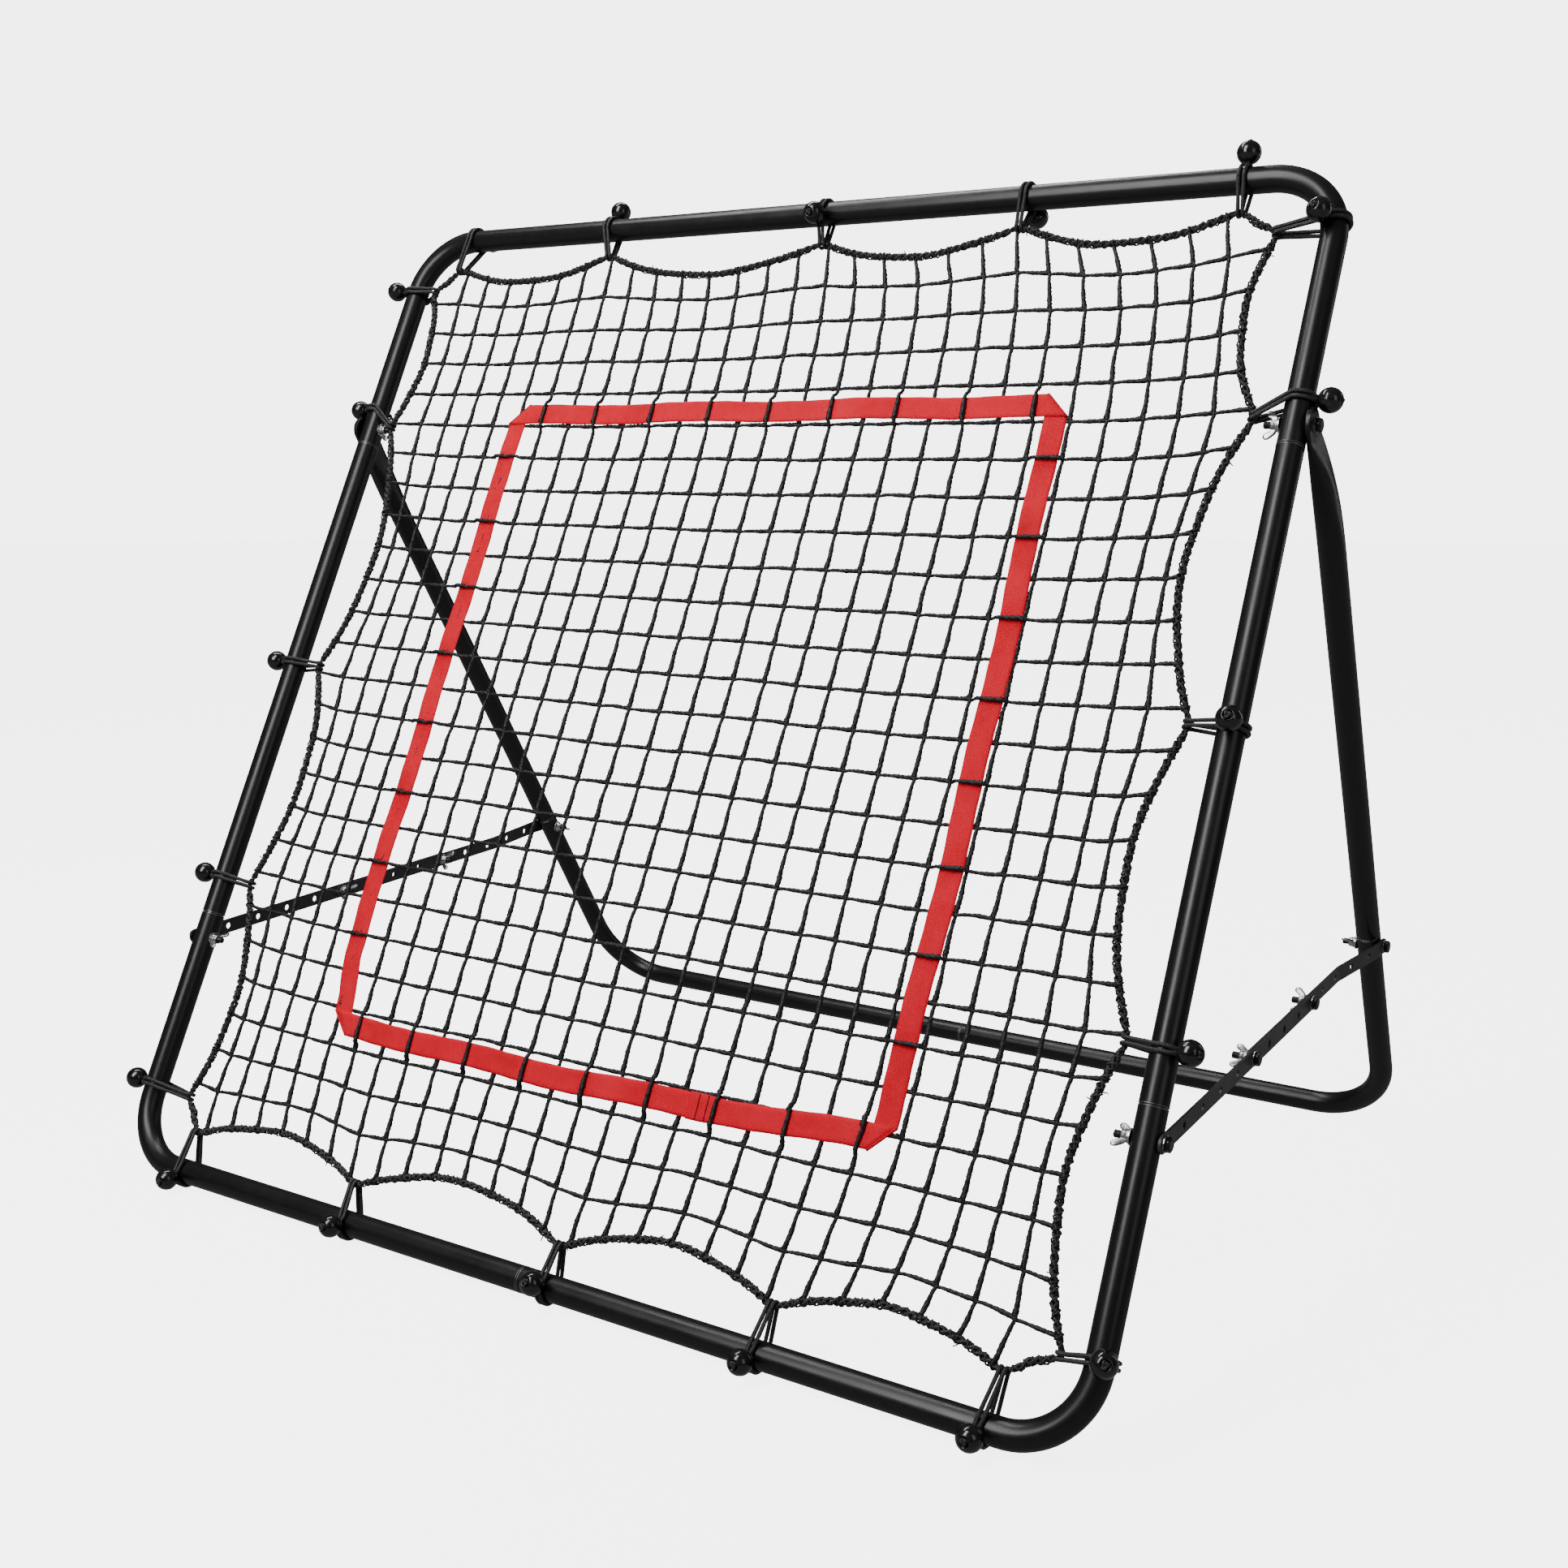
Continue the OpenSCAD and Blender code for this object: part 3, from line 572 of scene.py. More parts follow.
for k in range(2):
    phase = turn * LOOPS + pi * k + 0.35 * np.sin(turn * 37)
    away = (0.75 + 0.95 * tight) * (1 + 0.12 * np.sin(turn * 61 + k))
    yarn(phase, away, 1.3 + 0.75 * tight, 6, 0.85)
for k in range(2):
    phase = -turn * BINDS + pi * k + 0.5 * np.sin(turn * 53 + k)
    away = (1.5 + 1.5 * tight) * (1 + 0.16 * np.sin(turn * 71 + 2 * k))
    yarn(phase, away, 0.85, 5, 1.0)
for _ in range(26):                          # loose yarn ends that stand out of the rope
    k = int(rng.integers(0, len(rope3)))
    out = unit(rope_n[k] * rng.choice([-1, 1]) + rope_t[k] * rng.uniform(-0.9, 0.9)
               + FRONTWARDS * rng.uniform(-0.3, 0.6))
    reach = rng.uniform(4.5, 8)
    curl = rope_t[k] * rng.uniform(-1.6, 1.6)
    t = np.linspace(0, 1, 6)[:, None]
    sweep(rope, rope3[k] + out * reach * t + curl * t * t, np.linspace(0.8, 0.45, 6), ON_FRAME, sides=5,
          ref=rope_t[k] + 0.3)
rope.build("edge_rope_yarns", ROPE, "front_frame", "edge_rope", stands_for=("net_edge_rope",))

ties = Shape()                               # each strand's end goes round the rope
for node2 in np.concatenate([edge_top[1:-1], edge_right[1:-1], edge_bottom[1:-1], edge_left[1:-1]]):
    k = int(((rope2 - node2) ** 2).sum(1).argmin())
    t = np.linspace(0, 2 * pi, 14, endpoint=False)
    size = 2.6 + 0.9 * tight[k]
    ring = rope3[k] + size * (np.cos(t)[:, None] * rope_n[k] + np.sin(t)[:, None] * FRONTWARDS)
    ring = ring + rope_t[k] * (1.3 * np.sin(t + 0.7))[:, None]
    sweep(ties, ring, 0.78, ON_FRAME, sides=5, closed=True, ref=rope_t[k])
ties.build("net_ties", NET, "front_frame", "net_cord")


# ---- The red strap ----

def band(shape, line, depth, half=STRAP_HALF, cut_start=0.0, cut_end=0.0, ruffle=0.35):
    """Flat webbing along line. cut_start and cut_end slant its ends, in mm of run per mm of width."""
    n, per_face = len(line), 9
    around = 2 * per_face
    tangent = unit(np.gradient(line, axis=0))
    normal = np.stack([-tangent[:, 1], tangent[:, 0]], 1)
    run = distances(line)
    across = np.linspace(-1, 1, per_face)
    swell = WEB_T / 2 * np.sqrt(np.maximum(1 - np.abs(across) ** 10, 0.03))
    rings = []
    for i in range(n):
        ease0, ease1 = max(0, 1 - run[i] / 40), max(0, 1 - (run[-1] - run[i]) / 40)
        slide = across * half * (cut_start * ease0 + cut_end * ease1)
        dip = ruffle * np.sin(run[i] * 2 * pi / 68 + 0.6)
        edge = half * (1 + 0.018 * np.sin(run[i] * 2 * pi / 34))
        top = line[i] + normal[i] * (across * edge)[:, None] + tangent[i] * slide[:, None]
        d = depth + dip + 0.09 * np.cos(across * pi)
        front = np.stack([top[:, 0], d - swell, top[:, 1]], 1)
        back = np.stack([top[::-1, 0], (d + swell)[::-1], top[::-1, 1]], 1)
        rings.append(np.vstack([front, back]))
    u = run * MM
    width = np.linspace(0, 2 * half, per_face)
    v = np.concatenate([width, [0.5 + 2 * half], width[::-1][1:], [0]]) * MM
    faces, uvs = grid_faces(n, around, False, np.append(u, u[-1]), v)
    for end, order in ((0, range(around - 1, -1, -1)), (n - 1, range(around))):
        faces.append([end * around + j for j in order])
        uvs.append([(u[end], v[j]) for j in order])
    shape.add(np.concatenate(rings), faces, uvs, ON_FRAME)


strap = Shape()
low, high, left, right = (LINES[k] for k in ("low", "high", "left", "right"))
corners = {"tl": (left[-1] + high[0]) / 2, "tr": (right[-1] + high[-1]) / 2,
           "bl": (left[0] + low[0]) / 2, "br": (right[0] + low[-1]) / 2}


def between(a, line, b, count):
    body = line[(np.linalg.norm(line - a, axis=1) > 22) & (np.linalg.norm(line - b, axis=1) > 22)]
    return evenly(np.vstack([a[None], body, b[None]]), count)


LAYER = 1.25                                 # from one layer of webbing to the next
FOLD_T = np.linspace(-1, 1, 8)[:, None]
band(strap, between(corners["tl"], high, corners["tr"], 90), STRAP_D - LAYER / 2, cut_start=1, cut_end=-1)
band(strap, between(corners["bl"], low, corners["br"], 90), STRAP_D - LAYER / 2, cut_start=-1, cut_end=1)
band(strap, between(corners["bl"], left, corners["tl"], 96), STRAP_D + LAYER / 2, cut_start=1, cut_end=-1)
band(strap, between(corners["br"], right, corners["tr"], 96), STRAP_D + LAYER / 2, cut_start=-1, cut_end=1)
for key, (sx, ss) in {"tl": (-1, 1), "tr": (1, 1), "bl": (-1, -1), "br": (1, -1)}.items():
    fold = corners[key] + FOLD_T * np.array([sx, -ss]) * STRAP_HALF
    sweep(strap, np.insert(fold, 1, STRAP_D, axis=1), 1.22, ON_FRAME, sides=12)
LAP_FROM, LAP_TO = 112, 142
lap = low[(low[:, 0] > LAP_FROM) & (low[:, 0] < LAP_TO)]
band(strap, evenly(lap, 12), STRAP_D - LAYER / 2 - WEB_T, half=STRAP_HALF + 0.7, ruffle=0)
strap.build("strike_zone_strap", RED, "front_frame", "red_webbing", stands_for=("target_strap",))

stitches = Shape()
for x0 in (123.0, 131.5):
    for k in range(9):
        s0 = strap_at("low", x0) - STRAP_HALF + 1.4 + k * 2.3
        t = np.linspace(-0.95, 0.95, 5)
        path = np.stack([np.full(5, x0), STRAP_D - LAYER / 2 - 1.75 - 0.35 * np.cos(t * 1.5), s0 + t], 1)
        sweep(stitches, path, 0.36, ON_FRAME, sides=6)
stitches.build("strap_stitches", THREAD, "front_frame", "red_webbing")


# ---- Bungees ----

BEND_R = 60.0


def tube_place(side, w):
    """Outwards, along the tube, and the tube's centre, at a distance w along that side of the frame."""
    if side == "top":
        return np.array([0, 0, 1.0]), np.array([1.0, 0, 0]), np.array([w, 0, HEIGHT])
    if side == "bottom":
        return np.array([0, 0, -1.0]), np.array([1.0, 0, 0]), np.array([w, 0, 0])
    sign = 1.0 if side == "right" else -1.0
    turned = max(0.0, w - (HEIGHT - BEND_R)) / BEND_R        # into the top bend
    out = np.array([sign * cos(turned), 0, sin(turned)])
    along = np.array([-sign * sin(turned), 0, cos(turned)])
    bend = np.array([sign * (HALF_W - BEND_R), 0, min(w, HEIGHT - BEND_R)])
    return out, along, bend + BEND_R * out


BUNGEES = {
    # place along the tube, where the rope is held, the ball's angle round the tube
    "top": [(-427, HELD_TOP[0], 150), (-245, HELD_TOP[1], 96), (7, HELD_TOP[2], -29),
            (213, HELD_TOP[3], 190), (407, HELD_TOP[4], 75)],
    "right": [(64, HELD_RIGHT[4], 25), (281, HELD_RIGHT[3], 66), (524, HELD_RIGHT[2], 10),
              (793, HELD_RIGHT[1], 90), (949, HELD_RIGHT[0], -17)],
    "bottom": [(-412, HELD_BOTTOM[4], 25), (-199, HELD_BOTTOM[3], 11), (26, HELD_BOTTOM[2], -3),
               (228, HELD_BOTTOM[1], 17), (417, HELD_BOTTOM[0], 19)],
    "left": [(70, HELD_LEFT[0], 74), (279, HELD_LEFT[1], 72), (507, HELD_LEFT[2], 78),
             (793, HELD_LEFT[3], 80), (932, HELD_LEFT[4], 66)],
}
REACH = TUBE_R + BALL_R + 2.4
CORD_R = 1.7


def bungee_cords(shape, side, at, held, angle):
    """Two strands of elastic, round the tube and round the rope, spread to hold the ball's collar."""
    out, along, centre = tube_place(side, at)
    rope_point = np.array([held[0], 0, held[1]], float)
    d = -float((rope_point - centre) @ out)
    rope_w = float((rope_point - centre) @ along)
    big, small = TUBE_R + 0.1 + CORD_R, 2.9 + CORD_R
    beta = math.acos((big - small) / d)
    ball_turn = math.radians(angle)          # from the front, towards the outside
    for k, s in enumerate((-1, 1)):
        points = []
        for t in np.linspace(beta, 2 * pi - beta, 40):      # round the tube, from the front to the back
            u, v = -big * cos(t), big * sin(t)
            here = math.atan2(u, v)
            near = math.exp(-((math.remainder(here - ball_turn, 2 * pi)) / 0.42) ** 2)
            grow = 1 + 1.4 * near / big
            points.append((u * grow, v * grow, s * (2.3 - 1.3 * near)))
        for t in np.linspace(0, 1, 14)[1:-1]:               # to the rope behind the tube
            e = smooth01(t)
            p0 = np.array([-big * cos(2 * pi - beta), big * sin(2 * pi - beta)])
            p1 = np.array([-d - small * cos(-beta), small * sin(-beta)])
            q = p0 + (p1 - p0) * t
            points.append((q[0], q[1], s * (2.3 - 0.4 * e) + rope_w * t))
        for t in np.linspace(-beta, beta, 14):              # round the rope
            points.append((-d - small * cos(t), small * sin(t), rope_w + s * (1.9 + 0.5 * cos(t))))
        for t in np.linspace(0, 1, 14)[1:-1]:               # back before the tube
            e = smooth01(t)
            p0 = np.array([-d - small * cos(beta), small * sin(beta)])
            p1 = np.array([-big * cos(beta), big * sin(beta)])
            q = p0 + (p1 - p0) * t
            points.append((q[0], q[1], s * (1.9 + 0.4 * e) + rope_w * (1 - t)))
        points = np.array(points)
        path = centre + points[:, :1] * out + points[:, 1:2] * FRONTWARDS + points[:, 2:] * along
        radius = CORD_R + 0.04 * np.sin(np.arange(len(path)) * 0.7 + k)
        sweep(shape, path, radius, ON_FRAME, sides=10, closed=True, ref=along)


def ball_frame(side, at, angle):
    """A ball's centre, the way it points from the tube, and the tube's direction."""
    out, along, centre = tube_place(side, at)
    a = math.radians(angle)
    axis = out * sin(a) + FRONTWARDS * cos(a)
    return centre + axis * REACH, axis, along


def ball_mesh(shape, centre, axis):
    """A moulded ball: a collar where the elastic enters, a fine parting line and a hole with a round lip."""
    profile = [(-11.2, 1.2), (-11.2, 3.0), (-10.6, 3.6), (-9.6, 3.7)]
    for t in np.linspace(math.radians(157), math.radians(28), 30):
        r = BALL_R + (0.14 if abs(math.degrees(t) - 92) < 2.5 else 0)
        profile.append((r * cos(t), r * sin(t)))
    profile += [(8.95, 4.2), (8.85, 3.9), (8.5, 3.6), (7.8, 3.45), (4.5, 3.4), (4.4, 0)]
    lathe(shape, profile, centre, axis, ON_FRAME, sides=40)


def knot(shape, centre, axis, along):
    """The elastic's tied end, drawn into the ball's hole."""
    a, b = unit(along), unit(np.cross(axis, along))
    t = np.linspace(0, 2 * pi, 60, endpoint=False)
    x, y, z = np.sin(t) + 2 * np.sin(2 * t), np.cos(t) - 2 * np.cos(2 * t), -np.sin(3 * t)
    middle = centre + axis * (BALL_R - 1.6)
    path = middle + 0.8 * (x[:, None] * a + y[:, None] * b + 1.25 * z[:, None] * axis)
    sweep(shape, path, 1.15, ON_FRAME, sides=8, closed=True, ref=axis + 0.2 * a)


for side, places in BUNGEES.items():
    cords, balls = Shape(), Shape()
    for at, held, angle in places:
        bungee_cords(cords, side, at, held, angle)
        centre, axis, along = ball_frame(side, at, angle)
        ball_mesh(balls, centre, axis)
        knot(cords, centre, axis, along)
    cords.build(f"bungee_elastic_{side}", ELASTIC_SHEATH, "front_frame", "elastic_cord",
                stands_for=(f"bungee_cords_{side}",))
    balls.build(f"bungee_ball_set_{side}", BALL, "front_frame", "ball_gloss",
                stands_for=(f"bungee_balls_{side}",))


# ---- Bolts, wing nuts and washers ----

SHANK_R = 3.0
HEX_R = 5.0 / cos(pi / 6)
HEAD_SIDES, SHANK_SIDES = 48, 20
THREAD_PITCH, THREAD_DEPTH = 1.0, 0.36


def bolt(shape, where, head_at, tip_at, side, y, headed, threaded):
    """Hex bolt along X. head_at is its seat and tip_at its end, measured outboard of the side tube."""
    axis = np.array([side, 0, 0], float)
    base_point = np.array([side * HALF_W, y, 0], float)
    if headed:
        rings = [(0.02, 4.6, 1), (0.25, 4.9, 1), (0.3, HEX_R, 0), (3.2, HEX_R, 0), (3.75, HEX_R - 0.5, 0.55),
                 (4.0, 4.5, 1), (3.85, 3.4, 1), (3.8, 0.01, 1)]       # height, radius, roundness
        n = HEAD_SIDES
        t = np.arange(n) * 2 * pi / n
        hexed = cos(pi / 6) / np.cos(np.mod(t, pi / 3) - pi / 6)
        pts = []
        for h, rad, rounded in rings:
            r = rad * (rounded + (1 - rounded) * hexed)
            ring = np.stack([np.zeros(n), r * np.cos(t + 0.3), r * np.sin(t + 0.3)], 1)
            pts.append(base_point + axis * (head_at + h) + ring)
        m = len(rings)
        faces, uvs = grid_faces(m, n, False, np.linspace(0, 0.01, m), np.linspace(0, 1, n + 1))
        faces.append(list(range(n - 1, -1, -1)))
        uvs.append([(0, 0)] * n)
        shape.add(np.concatenate(pts), faces, uvs, where, flip=side < 0)
    top = head_at + 0.3
    thread_from = min(top, tip_at + threaded)
    n = SHANK_SIDES
    t = np.arange(n) * 2 * pi / n
    heights = [top] if thread_from < top else []
    heights += list(np.arange(thread_from, tip_at + 0.6, -0.22)) + [tip_at + 0.5, tip_at + 0.2, tip_at]
    pts = []
    for h in heights:
        ridge = np.abs(np.mod(h / THREAD_PITCH + t / (2 * pi), 1) * 2 - 1)
        depth = THREAD_DEPTH if h < thread_from - 0.3 else 0
        r = SHANK_R - depth * ridge - max(0, tip_at + 0.5 - h) * 1.2
        pts.append(base_point + axis * h + np.stack([np.zeros(n), r * np.cos(t), r * np.sin(t)], 1))
    m = len(heights)
    faces, uvs = grid_faces(m, n, False, np.linspace(0, 0.02, m), np.linspace(0, 1, n + 1))
    faces += [list(range(n - 1, -1, -1)), [(m - 1) * n + j for j in range(n)]]
    uvs += [[(0, 0)] * n, [(0.02, 0)] * n]
    shape.add(np.concatenate(pts), faces, uvs, where, flip=side > 0)


# an ear's outline: outwards, upwards
EAR = [(3.0, 1.0), (5.2, 0.9), (7.2, 1.9), (9.6, 4.2), (11.5, 6.6), (12.1, 8.7), (11.3, 10.5),
       (9.5, 11.2), (7.6, 10.6), (6.4, 9.0), (5.2, 7.0), (3.9, 5.6), (3.0, 5.0)]
# the boss's profile: height, radius
BOSS = [(0.0, 3.1), (0.0, 4.9), (0.35, 5.15), (1.2, 5.15), (2.2, 4.75), (4.6, 4.25), (5.8, 4.1), (6.1, 3.8),
        (6.1, 3.25), (5.6, 3.08), (0.4, 3.08)]
# share of the outline, height
EAR_LAYERS = [(0.01, -1.15), (0.7, -1.12), (0.93, -0.92), (1.0, -0.45), (1.0, 0.45), (0.93, 0.92),
              (0.7, 1.12), (0.01, 1.15)]


def rounded(outline):
    """Catmull-Rom curve through a closed outline."""
    dense = []
    m = len(outline)
    for i in range(m):
        p0, p1, p2, p3 = (outline[(i + k) % m] for k in (-1, 0, 1, 2))
        for t in (0, 0.25, 0.5, 0.75):
            dense.append(0.5 * (2 * p1 + (p2 - p0) * t + (2 * p0 - 5 * p1 + 4 * p2 - p3) * t * t
                                + (3 * p1 - p0 - 3 * p2 + p3) * t ** 3))
    return np.array(dense)


def wing_nut(where, seat, side, y, angle, name):
    """Cast wing nut: a waisted boss with a washer face, and two rounded ears that rise and lean outwards."""
    shape = Shape()
    inward = np.array([-side, 0, 0], float)
    c = np.array([side * (HALF_W + seat), y, 0], float)
    a = math.radians(angle)
    across = np.array([0, cos(a), sin(a)])
    thin = np.array([0, -sin(a), cos(a)])
    lathe(shape, BOSS + BOSS[:1], c, inward, where, sides=36)
    ear = rounded(np.array(EAR))
    middle = ear.mean(0)
    m, n = len(EAR_LAYERS), len(ear)
    for s in (-1, 1):
        pts = []
        for scale, h in EAR_LAYERS:
            ring = middle + (ear - middle) * scale
            thick = h * (1.25 - 0.03 * ring[:, 0])
            pts.append(c + across * (s * ring[:, :1]) + inward * ring[:, 1:] + thin * thick[:, None])
        faces, uvs = grid_faces(m, n, False, np.linspace(0, 0.01, m), np.linspace(0, 0.03, n + 1))
        shape.add(np.concatenate(pts), faces, uvs, where, flip=(s * side) > 0)
    shape.build(name + "_cast", ZINC, name + "_body", "bright_zinc", stands_for=(name,))


def bolts(name, where, head_at, tip_at, y, body, headed=True, threaded=26.0, sides=(-1, 1)):
    """The bolts of one node, at the places y on each of the sides."""
    shape = Shape()
    for side in sides:
        for at in y:
            bolt(shape, where, head_at, tip_at, side, at, headed, threaded)
    shape.build(name + "_threaded", BLACK_BOLT, body, "black_bolt", stands_for=(name,))


SEAT = TUBE_R + 0.2
pivot_seat = SEAT + TAB_T + 0.1 + WASHER_T
front_seat = SEAT + STRAP_T + 0.1 + WASHER_T
rear_seat = REAR_END_X + STRAP_T + 0.1 + WASHER_T
REAR_Y = PITCHES_SET * HOLE_PITCH
CLAMPS = [5 * HOLE_PITCH, 9 * HOLE_PITCH]
NUT_AT = -TUBE_R - WASHER_T - 0.1            # the nuts' seat inside the side tubes
bolts("pivot_bolts", ON_STAND, pivot_seat, -TUBE_R - WASHER_T - BOLT_TAIL, [0], "front_frame")
bolts("front_brace_bolts", ON_BRACE, front_seat, -TUBE_R - WASHER_T - BOLT_TAIL, [0], "front_frame")
bolts("rear_brace_bolts", ON_BRACE, rear_seat, LEG_INNER_X - 0.3 - WASHER_T - BOLT_TAIL, [REAR_Y], "stand")
for side, word in SIDES:
    bolts(f"clamp_bolts_{word}", ON_BRACE, front_seat, SEAT, CLAMPS, f"front_brace_{word}",
          threaded=0, sides=(side,))
    bolts(f"clamp_studs_{word}", ON_BRACE, OVERLAP_X + STRAP_T - 0.3, OVERLAP_X - WASHER_T - BOLT_TAIL,
          CLAMPS, f"rear_brace_{word}", headed=False, sides=(side,))
    wing_nut(ON_STAND, NUT_AT, side, 0, 35, f"pivot_wing_nut_{word}")
    wing_nut(ON_BRACE, NUT_AT, side, 0, 20, f"front_brace_wing_nut_{word}")
    wing_nut(ON_BRACE, LEG_INNER_X - LEG_GAP - WASHER_T, side, REAR_Y, -25, f"rear_brace_wing_nut_{word}")
    for k, turn_deg in ((0, 30), (1, 50)):
        wing_nut(ON_BRACE, OVERLAP_X - WASHER_T - 0.1, side, CLAMPS[k], turn_deg,
                 f"clamp_wing_nut_{word}_{k + 1}")


# ---- Legs: round tube pressed flat at the pivot ----

def leg(side, word):
    """The tube's outline goes from round to a flat round-ended tab, and its outer face slopes out."""
    shape = Shape()
    sides = 40
    t = np.arange(sides) * 2 * pi / sides
    c, s = np.cos(t), np.sin(t)
    tab, root, foot = 12.0, 112.0, LEG_JOINT - SEAM / 2      # ends of the flat, of the press and of the tube
    tab_x = SEAT + TAB_T / 2
    downs = np.concatenate([np.linspace(-TAB_W / 2, -3, 13), np.linspace(0, root, 44),
                            np.linspace(root + 8, foot - 0.6, 24), [foot - 0.25, foot]])
    rings = []
    for d in downs:
        press = 1 if d < tab else (1 - min(1, (d - tab) / (root - tab))) ** 1.9
        half_t = TUBE_R + (TAB_T / 2 - TUBE_R) * press
        half_w = TUBE_R + (TAB_W / 2 - TUBE_R) * press
        power = 2 + 5 * press
        if d < 0:                            # the round end about the bolt
            half_w = math.sqrt(max((TAB_W / 2) ** 2 - d * d, 0.6))
        x0 = tab_x * press + (LEG_OUT_TOP - d * tan(TOE)) * (1 - press)
        x = half_t * np.sign(c) * np.abs(c) ** (2 / power)
        y = half_w * np.sign(s) * np.abs(s) ** (2 / power)
        slant = np.exp(-((y + 4 - (d - 30) * 0.12) / 4.5) ** 2)
        ridge = 1.7 * math.exp(-((d - 48) / 22.0) ** 2) * slant * (c > 0)
        rounded_end = 1 - 0.25 / TUBE_R if d >= foot - 0.1 else 1
        outwards = HALF_W + x0 + (x + ridge) * rounded_end
        rings.append(np.stack([side * outwards, y * rounded_end, np.full(sides, -d)], 1))
    inner_r = TUBE_R - TUBE_WALL
    for d in (foot, foot - 20):              # the open end's bore
        outwards = HALF_W + LEG_OUT_TOP - d * tan(TOE) + inner_r * c
        rings.append(np.stack([side * outwards, inner_r * s, np.full(sides, -d)], 1))
    n = len(rings)
    run = np.concatenate([downs, [foot + 1, foot + 20]]) * MM
    faces, uvs = grid_faces(n, sides, False, run, np.linspace(0, 1, sides + 1))
    faces += [list(range(sides - 1, -1, -1)), [(n - 1) * sides + j for j in range(sides)]]
    uvs += [[(0, 0)] * sides] * 2
    shape.add(np.concatenate(rings), faces, uvs, ON_STAND, flip=side > 0)
    neck_x = LEG_OUT_TOP - LEG_JOINT * tan(TOE)
    lathe(shape, [(-6, 9.7), (SEAM + 6, 9.7)], (side * (HALF_W + neck_x), 0, -foot), (0, 0, -1), ON_STAND)
    shape.build(f"leg_tube_{word}", COAT, "stand", "powder_black", stands_for=(f"stand_leg_{word}",))


for side, word in SIDES:
    leg(side, word)


# ---- Worn rims at the tube joints ----

# a lip's profile: from its edge, from the tube's surface
RIM_PROFILE = [(-0.3, -0.5), (-0.25, 0.02), (0, 0.16), (0.35, 0.12), (0.7, -0.05)]


def rim(shape, where, centre, axis):
    """The two bright lips at a joint between tubes."""
    for s in (-1, 1):
        at = s * (SEAM / 2 + 0.25)
        profile = [(at + s * h, TUBE_R + r) for h, r in RIM_PROFILE]
        if s < 0:
            profile = profile[::-1]
        lathe(shape, profile + profile[:1], centre, axis, where, sides=48)


rims = Shape()
for side in (-1, 1):
    for s in (JOINT_LOW, JOINT_HIGH):
        rim(rims, ON_FRAME, (side * HALF_W, 0, s), (0, 0, 1))
for s in (0, HEIGHT):
    rim(rims, ON_FRAME, (0, 0, s), (1, 0, 0))
rims.build("frame_joint_rims", RIM, "front_frame", "powder_black")
stand_rims = Shape()
for side in (-1, 1):
    x = side * (HALF_W + LEG_OUT_TOP - LEG_JOINT * tan(TOE))
    rim(stand_rims, ON_STAND, (x, 0, -LEG_JOINT), (side * sin(TOE), 0, cos(TOE)))
rim(stand_rims, ON_STAND, (BASE_JOINT, 0, -LEG_LEN), (1, 0, 0))
stand_rims.build("stand_joint_rims", RIM, "stand", "powder_black")


# ---- CAD nodes that stay ----

def dress(names, mat, bevel=0.0):
    for name in names:
        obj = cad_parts[name]
        obj.data.materials.clear()
        obj.data.materials.append(mat)
        if bevel:
            b = obj.modifiers.new("edge", "BEVEL")
            b.width, b.segments, b.limit_method = bevel * MM, 2, "ANGLE"
            b.angle_limit = math.radians(35)


dress([f"frame_corner_{v}_{h}" for v in ("top", "bottom") for h in BOTH], COAT)
dress([f"{tube}_{h}" for tube in ("frame_side", "stand_corner") for h in BOTH], COAT)
dress([f"{end}_strap_{h}" for end in ("front", "rear") for h in BOTH], STRAP_COAT, 0.3)
dress([f"{bolt_set}_washers" for bolt_set in ("pivot", "front_brace", "rear_brace")], ZINC, 0.15)
dress([f"clamp_{kind}_{h}" for kind in ("washers", "inner_washers") for h in BOTH], ZINC, 0.15)


# ---- Studio ----

def area_light(name, at, look, size, power):
    data = bpy.data.lights.new(name, "AREA")
    data.shape = "RECTANGLE"
    data.size, data.size_y = size
    data.energy = power
    obj = bpy.data.objects.new(name, data)
    bpy.context.scene.collection.objects.link(obj)
    obj.location = at
    obj.rotation_euler = (Vector(look) - Vector(at)).to_track_quat("-Z", "Y").to_euler()


def backdrop(name, points, faces, mat, bsdf, glow):
    """A pale surface that only the camera sees: the lamps and the sky do the lighting."""
    mesh = bpy.data.meshes.new(name)
    mesh.from_pydata(points, [], faces)
    mesh.materials.append(mat)
    bsdf.inputs["Emission Color"].default_value = (1, 1, 1, 1)
    bsdf.inputs["Emission Strength"].default_value = glow
    obj = bpy.data.objects.new(name, mesh)
    bpy.context.scene.collection.objects.link(obj)
    obj.visible_glossy = False
    obj.visible_diffuse = False
    return obj


FLOOR, DOME = 14.0, 12.0                     # half of the floor's width and the dome's radius, in metres
floor_mat, _, _, floor_bsdf = material("pale_floor", (0.93, 0.93, 0.93), 0.9, Specular_IOR_Level=0.1)
backdrop("floor", [(-FLOOR, -FLOOR, 0), (FLOOR, -FLOOR, 0), (FLOOR, FLOOR, 0), (-FLOOR, FLOOR, 0)],
         [(0, 1, 2, 3)], floor_mat, floor_bsdf, 4.6)

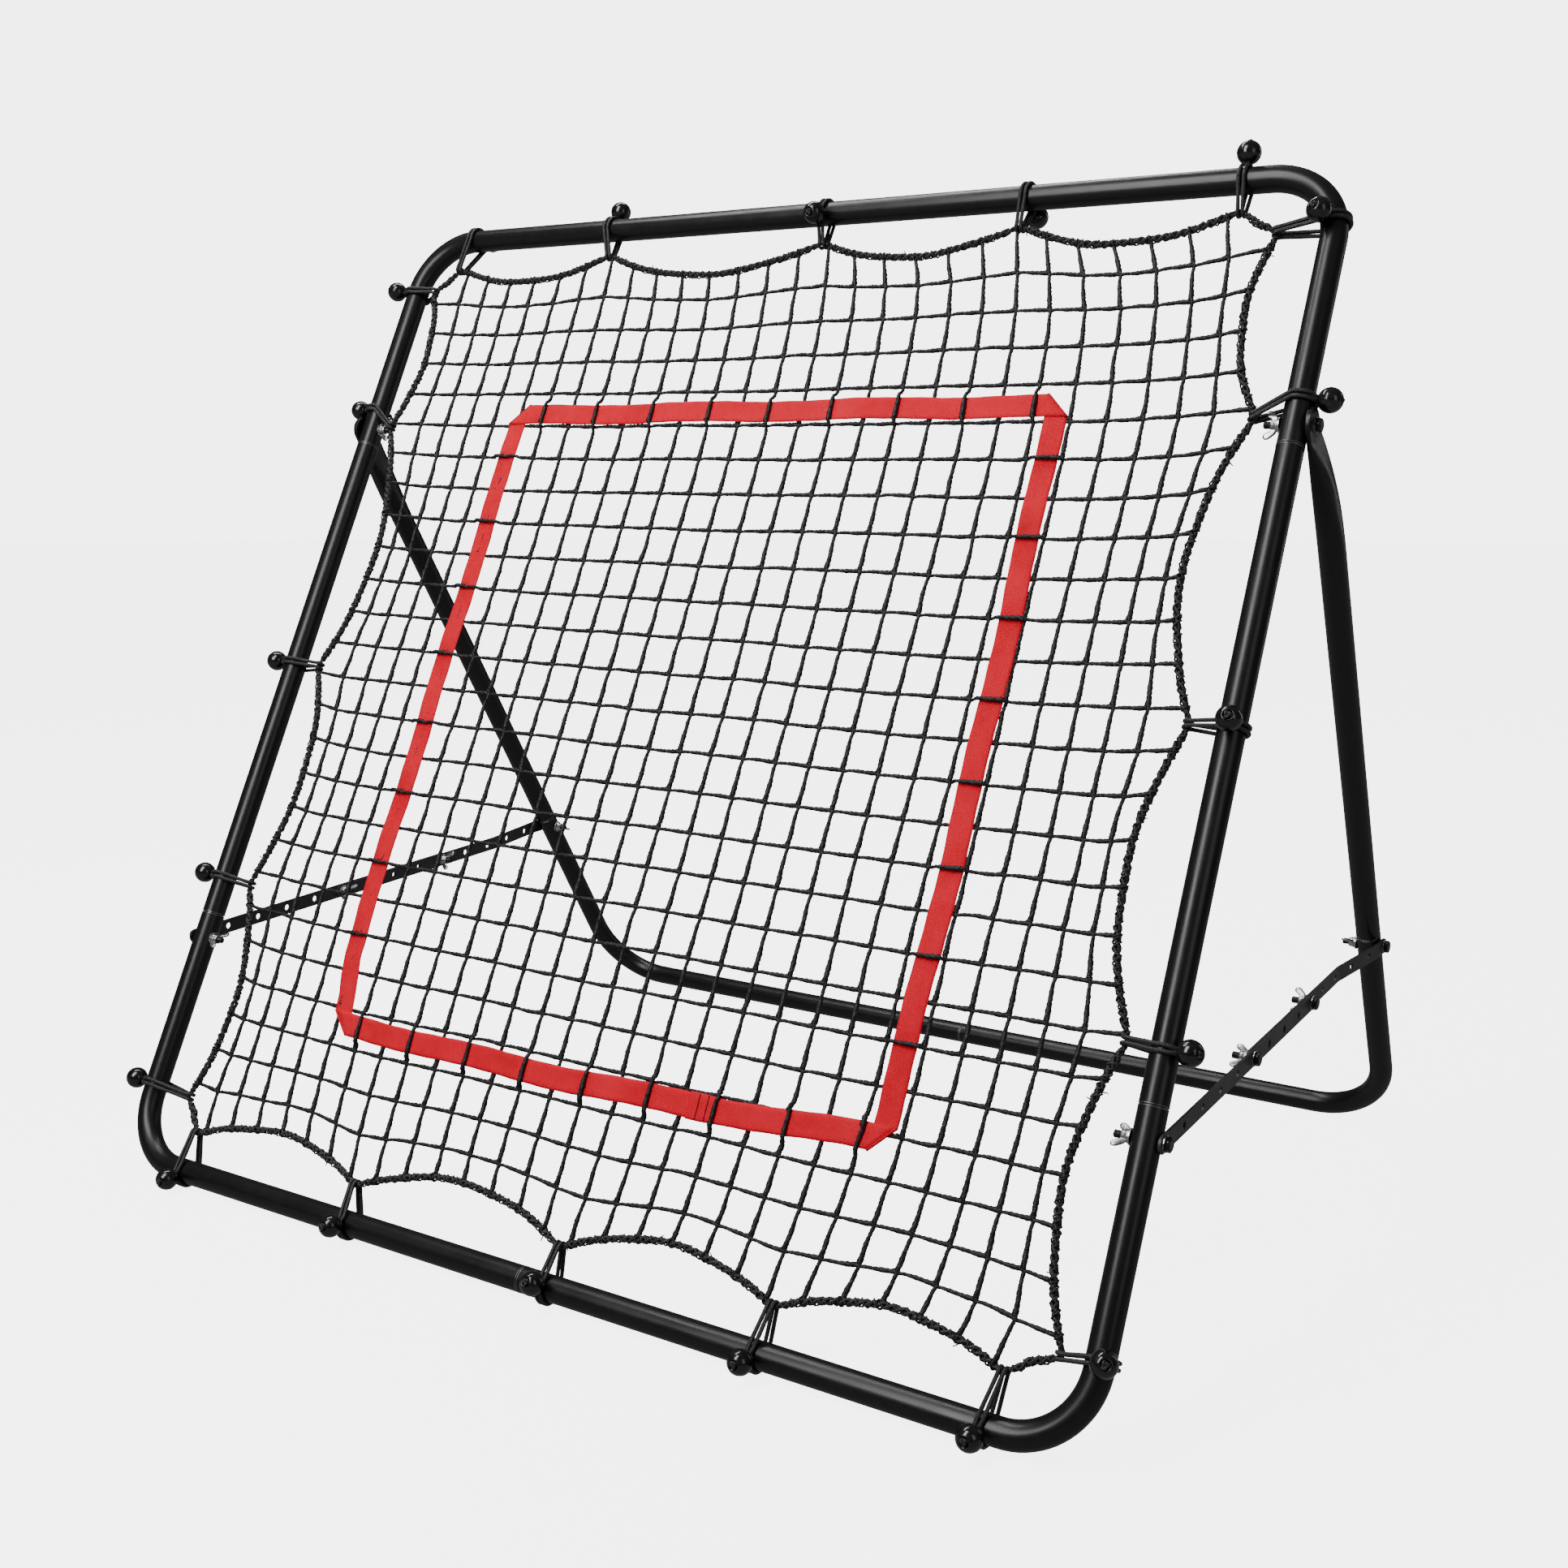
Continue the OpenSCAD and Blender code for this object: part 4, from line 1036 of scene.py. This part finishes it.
RISES, SPINS = 14, 32
rise, spin = np.meshgrid(np.linspace(-0.3, pi / 2, RISES), np.arange(SPINS) * 2 * pi / SPINS, indexing="ij")
dome_points = np.stack([np.cos(rise) * np.cos(spin), np.cos(rise) * np.sin(spin), np.sin(rise)], -1) * DOME
dome_faces = grid_faces(RISES, SPINS, False, np.zeros(RISES + 1), np.zeros(SPINS + 1))[0]
dome_mat, _, _, dome_bsdf = material("pale_backdrop", (0, 0, 0), 1.0, Specular_IOR_Level=0.0)
dome = backdrop("backdrop", dome_points.reshape(-1, 3).tolist(), dome_faces, dome_mat, dome_bsdf, 4.9)
dome.visible_shadow = False

world = bpy.data.worlds.new("studio")
bpy.context.scene.world = world
world.use_nodes = True
sky, sky_links = world.node_tree.nodes, world.node_tree.links
direction = sky.new("ShaderNodeSeparateXYZ")
sky_links.new(sky.new("ShaderNodeTexCoord").outputs["Generated"], direction.inputs["Vector"])
raised = math_node(sky, sky_links, "MULTIPLY_ADD", direction.outputs["Z"], 0.5, 0.5)
SKY_TONES = [(0.0, 0.22), (0.44, 0.20), (0.52, 0.05), (0.8, 0.07), (1.0, 0.10)]      # from below to above
sky_links.new(ramp(sky, sky_links, raised, SKY_TONES), sky["Background"].inputs["Color"])
sky["Background"].inputs["Strength"].default_value = 1.0

area_light("key", (-0.35, -1.65, 2.0), (0.05, -0.1, 0.45), (0.85, 2.2), 46)
area_light("fill", (2.6, -1.2, 1.5), (0.1, 0, 0.4), (1.0, 1.8), 5)
area_light("rim", (2.1, 2.6, 1.2), (0.2, 0, 0.4), (0.3, 2.0), 4)
area_light("top", (-0.9, 0.46, 2.6), (-0.1, 0.05, 0.7), (2.4, 0.22), 26)

# ---- Camera: fitted to the photograph's own perspective ----

AZIMUTH, ELEVATION, DISTANCE = math.radians(32.55), math.radians(10.73), 1547 * MM
TARGET = np.array([96.0, 244.5 + ORIGIN_Y, 394.0 + ELASTIC]) * MM
camera_data = bpy.data.cameras.new("camera")
camera = bpy.data.objects.new("camera", camera_data)
bpy.context.scene.collection.objects.link(camera)
bpy.context.scene.camera = camera
back = Vector((sin(AZIMUTH) * cos(ELEVATION), -cos(AZIMUTH) * cos(ELEVATION), sin(ELEVATION)))
camera.location = Vector(TARGET) + back * DISTANCE
camera.rotation_euler = (-back).to_track_quat("-Z", "Y").to_euler()
camera_data.sensor_width, camera_data.lens = 36, 41.22
camera_data.clip_start, camera_data.clip_end = 0.05, 60
